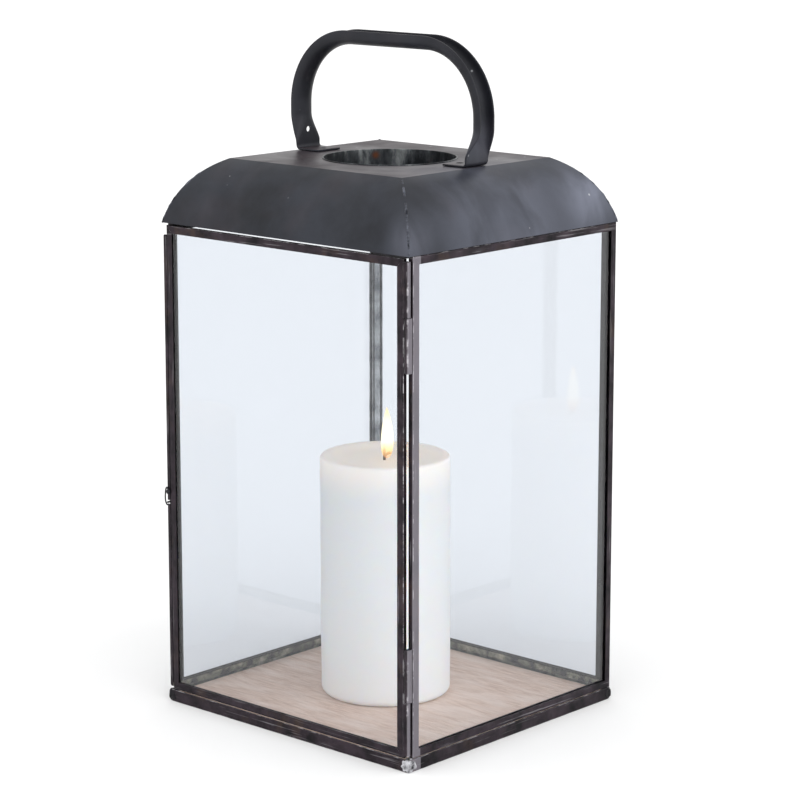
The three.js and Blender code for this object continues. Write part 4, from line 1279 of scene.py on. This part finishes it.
def build_roof():
    """The four curved sides of the roof."""
    half, runs, eave, rise = roof_places()
    sides = (
        ("roof_front", 0, half.y, half.x, runs.y, runs.x),
        ("roof_right", 90, half.x, half.y, runs.x, runs.y),
        ("roof_back", 180, half.y, half.x, runs.y, runs.x),
        ("roof_left", 270, half.x, half.y, runs.x, runs.y),
    )
    for name, turn, out, half_eave, run, other_run in sides:
        bm = bmesh.new()
        ends = [bm.verts.new((side * half_eave, -out, eave)) for side in (-1, 1)]
        edge = bm.edges.new(ends)
        for step in range(1, ROOF_STEPS + 1):
            edge, ends = extrude_edge(bm, edge)
            in_share, up_share = roof_curve(step / ROOF_STEPS)
            for vert in ends:
                side = math.copysign(1, vert.co.x)
                vert.co = (
                    side * (half_eave - other_run * in_share),
                    -out + run * in_share,
                    eave + rise * up_share,
                )
        level = [e for e in bm.edges if abs((e.verts[0].co - e.verts[1].co).x) > 20]
        bmesh.ops.subdivide_edges(bm, edges=level, cuts=24)
        thicken(bm, mm("sheet"), Vector((0, -1, 0)))
        round_about = Matrix.Rotation(math.radians(turn), 3, "Z")
        bmesh.ops.rotate(bm, verts=bm.verts, cent=(0, 0, 0), matrix=round_about)
        place_piece(
            f"{name}_curved", bm, finish("roof_black"), "root", [name], even=False,
        )


def build_roof_seams():
    """The solder that joins the roof's sides along the hips, wavy and a little proud."""
    half, runs, eave, rise = roof_places()
    radius = mm("seam")
    steps = 70
    bm = bmesh.new()
    for side_x, side_y in ((1, -1), (-1, -1), (1, 1), (-1, 1)):
        points, swell = [], []
        for step in range(steps + 1):
            in_share, up_share = roof_curve(step / steps)
            point = Vector((
                side_x * (half.x - radius * 0.8 - runs.x * in_share),
                side_y * (half.y - radius * 0.8 - runs.y * in_share),
                eave + radius + (rise - 1.7 * radius) * up_share,
            ))
            points.append(point)
            swell.append(0.8 + 0.55 * noise.noise(point * 0.3))
        sweep(bm, radius, path_frames(points, Vector((side_y, -side_x, 0))), 12, swell)
    close_up(bm)
    place_piece("roof_hip_solder", bm, finish("seam"), "root", even=False)


def build_eave_solder():
    """Blackened solder run under the front eave, from the right corner inwards, clear of the door."""
    half, _, eave, _ = roof_places()
    _, door_high = cad_box("door_top_rail")
    clear = 0.15
    middle_in, half_length = 15.9, 15.6  # along X, from the eave's corner
    depth_in, half_depth = 1.9, 1.5  # along Y, from the eave's edge
    low_z, high_z = door_high.z + clear, eave + 1.2
    bm = bmesh.new()
    bmesh.ops.create_icosphere(bm, subdivisions=5, radius=1.0)
    for vert in bm.verts:
        lump = 1.0 + 0.12 * noise.noise(Vector((vert.co.x * 9, vert.co.y * 2, vert.co.z * 2)))
        swell = math.copysign(abs(vert.co.x) ** 0.5, vert.co.x)
        vert.co = Vector((
            half.x - middle_in + half_length * swell,
            -half.y + depth_in + half_depth * vert.co.y * lump,
            (low_z + high_z) / 2 + (high_z - low_z) / 2 * min(max(vert.co.z * 1.3 * lump, -1.0), 1.0),
        ))
    place_piece("eave_solder", bm, finish("black_solder"), "root", even=False, sharp=80)


def build_top_plate():
    """The flat top with its round hole."""
    low, high = cad_box("roof_top_plate")
    _, sleeve_high = cad_box("chimney_sleeve")
    half, runs, _, _ = roof_places()
    edge = Vector((half.x - runs.x, half.y - runs.y))
    clearance = 0.3
    cuts = 23
    bm = bmesh.new()
    ring = bmesh.ops.create_circle(
        bm, radius=sleeve_high.x + clearance, segments=4 * (cuts + 1),
        matrix=Matrix.Translation((0, 0, high.z)),
    )["verts"]
    ring_edges = list({e for v in ring for e in v.link_edges})
    outside = ((-edge.x, -edge.y), (edge.x, -edge.y), (edge.x, edge.y), (-edge.x, edge.y))
    corners = [bm.verts.new((x, y, high.z)) for x, y in outside]
    outline = [bm.edges.new((corners[i], corners[(i + 1) % 4])) for i in range(4)]
    bmesh.ops.subdivide_edges(bm, edges=outline, cuts=cuts)
    outline = [e for e in bm.edges if e not in ring_edges]
    bmesh.ops.bridge_loops(bm, edges=ring_edges + outline)
    thicken(bm, 0.5 * (high.z - low.z), UP)
    place_piece("roof_top_plate_cut", bm, finish("roof_black"), "root", ["roof_top_plate"])


def build_rim():
    """The flat ring inside the eave."""
    low, high = cad_box("roof_rim")
    width, edge = 7.0, 0.15
    bm = bmesh.new()
    block(bm, low, high)
    hole = bmesh.new()
    block(hole, low + Vector((width, width, -1)), high + Vector((-width, -width, 1)))
    bm = cut_out(bm, [hole])
    round_edges(bm, sharp_edges(bm), edge, 2)
    place_piece("roof_rim_flat", bm, finish("zinc_black"), "root", ["roof_rim"])


def build_sleeve():
    """The chimney sleeve: a rolled zinc tube with a turned-over top edge."""
    low, high = cad_box("chimney_sleeve")
    radius = high.x
    wall, turned_edge = 0.8, 0.3
    bm = bmesh.new()
    start = bm.verts.new((radius, 0, low.z))
    end = bm.verts.new((radius, 0, high.z))
    edge = bm.edges.new((start, end))
    bmesh.ops.spin(
        bm, geom=[edge], cent=(0, 0, 0), axis=(0, 0, 1), angle=math.tau, steps=128, use_merge=True,
    )
    bmesh.ops.remove_doubles(bm, verts=bm.verts, dist=MERGE)
    thicken(bm, wall, Vector((1, 0, 0)))
    round_edges(bm, sharp_edges(bm), turned_edge, 3)
    place_piece("chimney_sleeve_rolled", bm, finish("zinc_bare"), "root", ["chimney_sleeve"])


# ---- handle -------------------------------------------------------------------------------

FOLD_START, FOLD_END = 1.6, 22.0  # heights over the feet between which the strap folds
FIRST_BEND = 1.2  # mid-wall radius where the edges begin to fold
FOOT_HOLE_IN = 13.3  # foot hole from the outside of the leg
FOOT_HOLE_RADIUS = 2.25
LEG_HOLE_HEIGHT = 12
LEG_HOLE_RADIUS = 1.8
CUTTER_REACH = 3


def strap_depth():
    """From the inside of the strap's web to the edges of its folded flanks."""
    flank = (mm("blank_width") - mm("roll_radius") * math.pi) / 2
    return mm("strap") / 2 + mm("roll_radius") + flank


def handle_line(low, high):
    """Points of the line that the strap's web follows, in X and Z, and their distances along it."""
    wall = mm("strap") / 2
    web_x = high.x - strap_depth() + wall
    bend = 1.5 * mm("strap") + wall
    corner = web_x - mm("grip") / 2
    foot_z = low.z + wall
    top_z = high.z - strap_depth() + wall
    half = [Vector((web_x + wall - mm("foot_length"), foot_z))]

    def arc(centre_x, centre_z, radius, start, end, steps):
        for i in range(steps + 1):
            angle = math.radians(start + (end - start) * i / steps)
            half.append(Vector((centre_x + radius * math.cos(angle), centre_z + radius * math.sin(angle))))

    arc(web_x - bend, foot_z + bend, bend, -90, 0, 24)
    arc(mm("grip") / 2, top_z - corner, corner, 0, 90, 90)
    half.append(Vector((0, top_z)))
    line = half + [Vector((-p.x, p.y)) for p in reversed(half[:-1])]
    lengths = [0.0]
    for a, b in zip(line, line[1:]):
        lengths.append(lengths[-1] + (b - a).length)
    return line, lengths


def on_line(line, lengths, share):
    """Point and direction at a share of a line's length."""
    goal = share * lengths[-1]
    index = max(i for i, reached in enumerate(lengths[:-1]) if reached <= goal + 1e-9)
    a, b = line[index], line[index + 1]
    part = (goal - lengths[index]) / max(lengths[index + 1] - lengths[index], 1e-9)
    return a.lerp(b, part), (b - a).normalized()


def strap_section(across, fold):
    """Sideways and outward place of a point of the strap's inner face. A fold of 0 is flat and 1 is
    half round."""
    depth = -mm("strap") / 2
    web = mm("foot_width") / 2 * (1 - fold)
    radius = FIRST_BEND + (mm("roll_radius") - FIRST_BEND) * fold
    reach = abs(across)
    past = max(reach - web, 0.0)
    bent = min(past, radius * math.pi / 2)
    angle = bent / radius
    flank = past - bent
    sideways = min(reach, web) + (radius - depth) * math.sin(angle) + flank * math.cos(angle)
    outwards = radius - (radius - depth) * math.cos(angle) + flank * math.sin(angle)
    return math.copysign(sideways, across), outwards


def build_handle():
    """The handle: a bent strap, folded outwards to a half tube above its flat feet."""
    low, high = cad_box("handle_strap")
    line, lengths = handle_line(low, high)
    bm = bmesh.new()
    bmesh.ops.create_grid(bm, x_segments=30, y_segments=320, size=0.5)
    for vert in bm.verts:
        place, forward = on_line(line, lengths, vert.co.y + 0.5)
        ease = min(max((place.y - low.z - FOLD_START) / (FOLD_END - FOLD_START), 0.0), 1.0)
        fold = ease * ease * (3 - 2 * ease)
        width = mm("foot_width") + (mm("blank_width") - mm("foot_width")) * fold
        sideways, outwards = strap_section(vert.co.x * width, fold)
        vert.co = (place.x + forward.y * outwards, sideways, place.y - forward.x * outwards)
    thicken(bm, mm("strap"), -UP)
    round_edges(bm, sharp_edges(bm, 60), mm("strap_edge"), 2)
    web_x = high.x - strap_depth()
    hole_x = web_x + mm("strap") - FOOT_HOLE_IN
    cutters = []
    for x in (-hole_x, hole_x):
        cutters.append(bmesh.new())
        rod(cutters[-1], FOOT_HOLE_RADIUS, (x, 0, low.z - 1), (x, 0, low.z + CUTTER_REACH), 40)
    cutters.append(bmesh.new())
    hole_z = low.z + LEG_HOLE_HEIGHT
    ends = [(-web_x + reach, 0, hole_z) for reach in (-CUTTER_REACH, CUTTER_REACH)]
    rod(cutters[-1], LEG_HOLE_RADIUS, *ends, 40)
    bm = cut_out(bm, cutters)
    place_piece(
        "handle_strap_folded", bm, finish("steel_black"), "root", ["handle_strap"],
        even=False,
    )


# ---- candle -------------------------------------------------------------------------------


def build_wax():
    """The pillar candle: a cast cylinder with a rounded foot and brim and a melt pool."""
    low, high = cad_box("candle_wax")
    centre = (low + high) / 2
    radius = (high.x - low.x) / 2
    bm = bmesh.new()
    rod(bm, radius, (centre.x, centre.y, low.z), (centre.x, centre.y, high.z), 128)
    round_edges(bm, sharp_edges_at(bm, low.z), mm("wax_foot"), 7)
    round_edges(bm, sharp_edges_at(bm, high.z), mm("wax_brim"), 5)
    top = max(bm.faces, key=lambda f: f.calc_center_median().z)
    # The melt pool, from its edge inwards: how far in each step goes, and how far down.
    pool = (
        (2.2, 0.0), (2.4, -0.5), (2.6, -1.0), (3.0, -0.9), (5.0, -0.5), (7.0, -0.3), (9.0, -0.2),
    )
    for inset, depth in pool:
        bmesh.ops.inset_region(bm, faces=[top], thickness=inset, use_even_offset=True)
        bmesh.ops.translate(bm, verts=top.verts, vec=(0, 0, depth))
    walls = [e for e in bm.edges if abs((e.verts[0].co - e.verts[1].co).z) > 60]
    bmesh.ops.subdivide_edges(bm, edges=walls, cuts=40)
    shrinkage = 0.28
    for vert in bm.verts:
        out = Vector((vert.co.x - centre.x, vert.co.y - centre.y, 0))
        if out.length > radius * 0.9:
            vert.co -= out.normalized() * (shrinkage + shrinkage * noise.noise(vert.co * 0.03))
    place_piece(
        "candle_wax_cast", bm, finish("wax"), "candle", ["candle_wax"],
        even=False, sharp=60,
    )


def build_wick():
    """The burnt wick, leaning over."""
    low, high = cad_box("candle_wick")
    centre = cad_middle("candle_wax")
    radius = mm("wick")
    # Aside in X and Y, and down from the tip.
    bends = ((0.0, 0.0, 6.0), (0.1, 0.0, 3.6), (0.9, 0.5, 1.9), (2.2, 1.3, 1.0), (3.2, 2.2, 0.5))
    points = [Vector((centre.x, centre.y, low.z))]
    points += [Vector((centre.x + x, centre.y + y, high.z - down)) for x, y, down in bends]
    line = smooth_path(points, 10)
    swell = [1.0 + 0.12 * noise.noise(p * 1.7) for p in line]
    bm = bmesh.new()
    sweep(bm, radius, path_frames(line, Vector((1, 0, 0.01))), 16, swell)
    close_up(bm)
    place_piece(
        "candle_wick_burnt", bm, finish("wick"), "candle", ["candle_wick"], even=False,
    )


def build_flame():
    """The flame round the upper end of the wick."""
    _, high = cad_box("candle_wick")
    centre = cad_middle("candle_wax")
    tall, wide = mm("flame_height"), mm("flame_width")
    foot = Vector((centre.x + 1.2, centre.y + 0.9, high.z - 4.0))
    bm = bmesh.new()
    bmesh.ops.create_uvsphere(bm, u_segments=40, v_segments=48, radius=1.0)
    for vert in bm.verts:
        share = (vert.co.z + 1) / 2
        # Widest at a third of its height, drawn out to a point.
        girth = (1 - share) ** 0.85 * share**0.42 * 1.72
        around = Vector((vert.co.x, vert.co.y))
        around = around.normalized() * girth * wide / 2 if around.length > 1e-6 else Vector((0, 0))
        sway = math.sin(share * math.pi) * 0.4
        vert.co = Vector((around.x + sway, around.y, share * tall)) + foot
    bmesh.ops.remove_doubles(bm, verts=bm.verts, dist=MERGE)
    bmesh.ops.recalc_face_normals(bm, faces=bm.faces)
    glow = burning_gas(foot.z * MM, (foot.z + tall) * MM)
    flame = place_piece("candle_flame", bm, glow, "candle", even=False, sharp=180)
    flame.visible_shadow = False


# ---- stage --------------------------------------------------------------------------------

CAMERA_AZIMUTH = 42.32  # degrees round the lantern from the front
CAMERA_PITCH = 10.93  # degrees down
CAMERA_DISTANCE = 1.664  # from the aim to the camera
CAMERA_AIM = (0.006, 0.2193)  # aside and up
CAMERA_LENS = 123.75  # millimetres
CAMERA_SHIFT = -0.06
FLOOR_HALF = 14.0


def build_floor():
    """The pale studio floor."""
    bm = bmesh.new()
    bmesh.ops.create_grid(bm, x_segments=1, y_segments=1, size=FLOOR_HALF)
    mesh = bpy.data.meshes.new("studio_floor")
    bm.to_mesh(mesh)
    bm.free()
    floor = bpy.data.objects.new("studio_floor", mesh)
    bpy.context.scene.collection.objects.link(floor)
    mesh.materials.append(finish("floor"))


def build_light():
    """An even white room with a broad soft light from the right and a weaker one from the front."""
    scene = bpy.context.scene
    world = bpy.data.worlds.new("studio_air")
    scene.world = world
    world.use_nodes = True
    world.node_tree.nodes["Background"].inputs["Color"].default_value = (1.0, 1.0, 1.0, 1.0)
    world.node_tree.nodes["Background"].inputs["Strength"].default_value = 1.0
    for name, heading, energy, spread in (
        ("side_light", (-0.85, 0.05, -0.5), 1.45, 80),
        ("front_light", (0.1, 0.85, -0.5), 0.95, 110),
    ):
        light = bpy.data.lights.new(name, "SUN")
        light.energy = energy
        light.angle = math.radians(spread)
        lamp = bpy.data.objects.new(name, light)
        scene.collection.objects.link(lamp)
        lamp.rotation_euler = Vector(heading).to_track_quat("-Z", "Y").to_euler()


def build_camera():
    """The camera, a little above the candle, looking at the front right corner."""
    azimuth, pitch = math.radians(CAMERA_AZIMUTH), math.radians(CAMERA_PITCH)
    forward = Vector((
        -math.sin(azimuth) * math.cos(pitch), math.cos(azimuth) * math.cos(pitch), -math.sin(pitch),
    ))
    right = Vector((math.cos(azimuth), math.sin(azimuth), 0))
    camera = bpy.data.objects.new("studio_camera", bpy.data.cameras.new("studio_camera"))
    bpy.context.scene.collection.objects.link(camera)
    camera.location = right * CAMERA_AIM[0] + UP * CAMERA_AIM[1] - forward * CAMERA_DISTANCE
    camera.rotation_euler = forward.to_track_quat("-Z", "Y").to_euler()
    camera.data.lens = CAMERA_LENS
    camera.data.shift_y = CAMERA_SHIFT
    bpy.context.scene.camera = camera
    bpy.context.scene.view_settings.view_transform = "Standard"


# ---- operators and panel ------------------------------------------------------------------


class LANTERN_OT_tray(bpy.types.Operator):
    """Folds the base tray and solders its corners."""

    bl_idname = "lantern.tray"
    bl_label = "Base Tray"

    def execute(self, context):
        build_tray()
        build_corner_solder()
        return {"FINISHED"}


class LANTERN_OT_board(bpy.types.Operator):
    """Lays the whitewashed board in the tray."""

    bl_idname = "lantern.board"
    bl_label = "Floor Board"

    def execute(self, context):
        build_board()
        return {"FINISHED"}


class LANTERN_OT_panels(bpy.types.Operator):
    """Folds the channels of the three fixed panels."""

    bl_idname = "lantern.panels"
    bl_label = "Fixed Panels"

    def execute(self, context):
        for prefix in ("right", "left", "back"):
            build_panel(prefix, "root")
        return {"FINISHED"}


class LANTERN_OT_door(bpy.types.Operator):
    """Folds the door's channels and its stop lip."""

    bl_idname = "lantern.door"
    bl_label = "Door"

    def execute(self, context):
        build_panel("door", "door")
        build_lip()
        return {"FINISHED"}


class LANTERN_OT_glass(bpy.types.Operator):
    """Glazes the door and the fixed panels."""

    bl_idname = "lantern.glass"
    bl_label = "Glass"

    def execute(self, context):
        glaze()
        return {"FINISHED"}


class LANTERN_OT_hinges(bpy.types.Operator):
    """Rolls the hinge knuckles and sets the pins."""

    bl_idname = "lantern.hinges"
    bl_label = "Hinges"

    def execute(self, context):
        build_hinges()
        return {"FINISHED"}


class LANTERN_OT_latch(bpy.types.Operator):
    """Bends the hook and sets its rivet and keeper."""

    bl_idname = "lantern.latch"
    bl_label = "Latch"

    def execute(self, context):
        build_hook()
        build_rivet()
        build_keeper()
        return {"FINISHED"}


class LANTERN_OT_roof(bpy.types.Operator):
    """Curves the roof's four sides and solders the hips."""

    bl_idname = "lantern.roof"
    bl_label = "Roof"

    def execute(self, context):
        build_roof()
        build_roof_seams()
        build_eave_solder()
        return {"FINISHED"}


class LANTERN_OT_top(bpy.types.Operator):
    """Cuts the flat top and the rim under the eave."""

    bl_idname = "lantern.top"
    bl_label = "Flat Top"

    def execute(self, context):
        build_top_plate()
        build_rim()
        return {"FINISHED"}


class LANTERN_OT_sleeve(bpy.types.Operator):
    """Rolls the chimney sleeve."""

    bl_idname = "lantern.sleeve"
    bl_label = "Chimney Sleeve"

    def execute(self, context):
        build_sleeve()
        return {"FINISHED"}


class LANTERN_OT_handle(bpy.types.Operator):
    """Bends and folds the strap handle."""

    bl_idname = "lantern.handle"
    bl_label = "Handle"

    def execute(self, context):
        build_handle()
        return {"FINISHED"}


class LANTERN_OT_candle(bpy.types.Operator):
    """Casts the candle, sets its wick and lights it."""

    bl_idname = "lantern.candle"
    bl_label = "Candle"

    def execute(self, context):
        build_wax()
        build_wick()
        build_flame()
        return {"FINISHED"}


class LANTERN_OT_stage(bpy.types.Operator):
    """Sets the floor, the light and the camera."""

    bl_idname = "lantern.stage"
    bl_label = "Stage"

    def execute(self, context):
        build_floor()
        build_light()
        build_camera()
        return {"FINISHED"}


OPERATORS = [
    LANTERN_OT_tray,
    LANTERN_OT_board,
    LANTERN_OT_panels,
    LANTERN_OT_door,
    LANTERN_OT_glass,
    LANTERN_OT_hinges,
    LANTERN_OT_latch,
    LANTERN_OT_roof,
    LANTERN_OT_top,
    LANTERN_OT_sleeve,
    LANTERN_OT_handle,
    LANTERN_OT_candle,
    LANTERN_OT_stage,
]


class LANTERN_PT_panel(bpy.types.Panel):
    """Lists the lantern's operators and settings."""

    bl_label = "Candle Lantern"
    bl_idname = "LANTERN_PT_panel"
    bl_space_type = "VIEW_3D"
    bl_region_type = "UI"
    bl_category = "Lantern"

    def draw(self, context):
        for group in (context.scene.lantern_sizes, context.scene.lantern_colours):
            for name in group.__annotations__:
                self.layout.prop(group, name)
        for operator in OPERATORS:
            self.layout.operator(operator.bl_idname)


CLASSES = [LanternColours, LanternSizes, *OPERATORS, LANTERN_PT_panel]


def register():
    """Adds the classes and the scene's settings."""
    for item in CLASSES:
        bpy.utils.register_class(item)
    bpy.types.Scene.lantern_colours = bpy.props.PointerProperty(type=LanternColours)
    bpy.types.Scene.lantern_sizes = bpy.props.PointerProperty(type=LanternSizes)


def unregister():
    """Takes the classes and the settings away again."""
    del bpy.types.Scene.lantern_sizes
    del bpy.types.Scene.lantern_colours
    for item in reversed(CLASSES):
        bpy.utils.unregister_class(item)


def main():
    """Builds the whole lantern."""
    register()
    for operator in OPERATORS:
        group, name = operator.bl_idname.split(".")
        getattr(getattr(bpy.ops, group), name)()


if __name__ == "__main__":
    main()
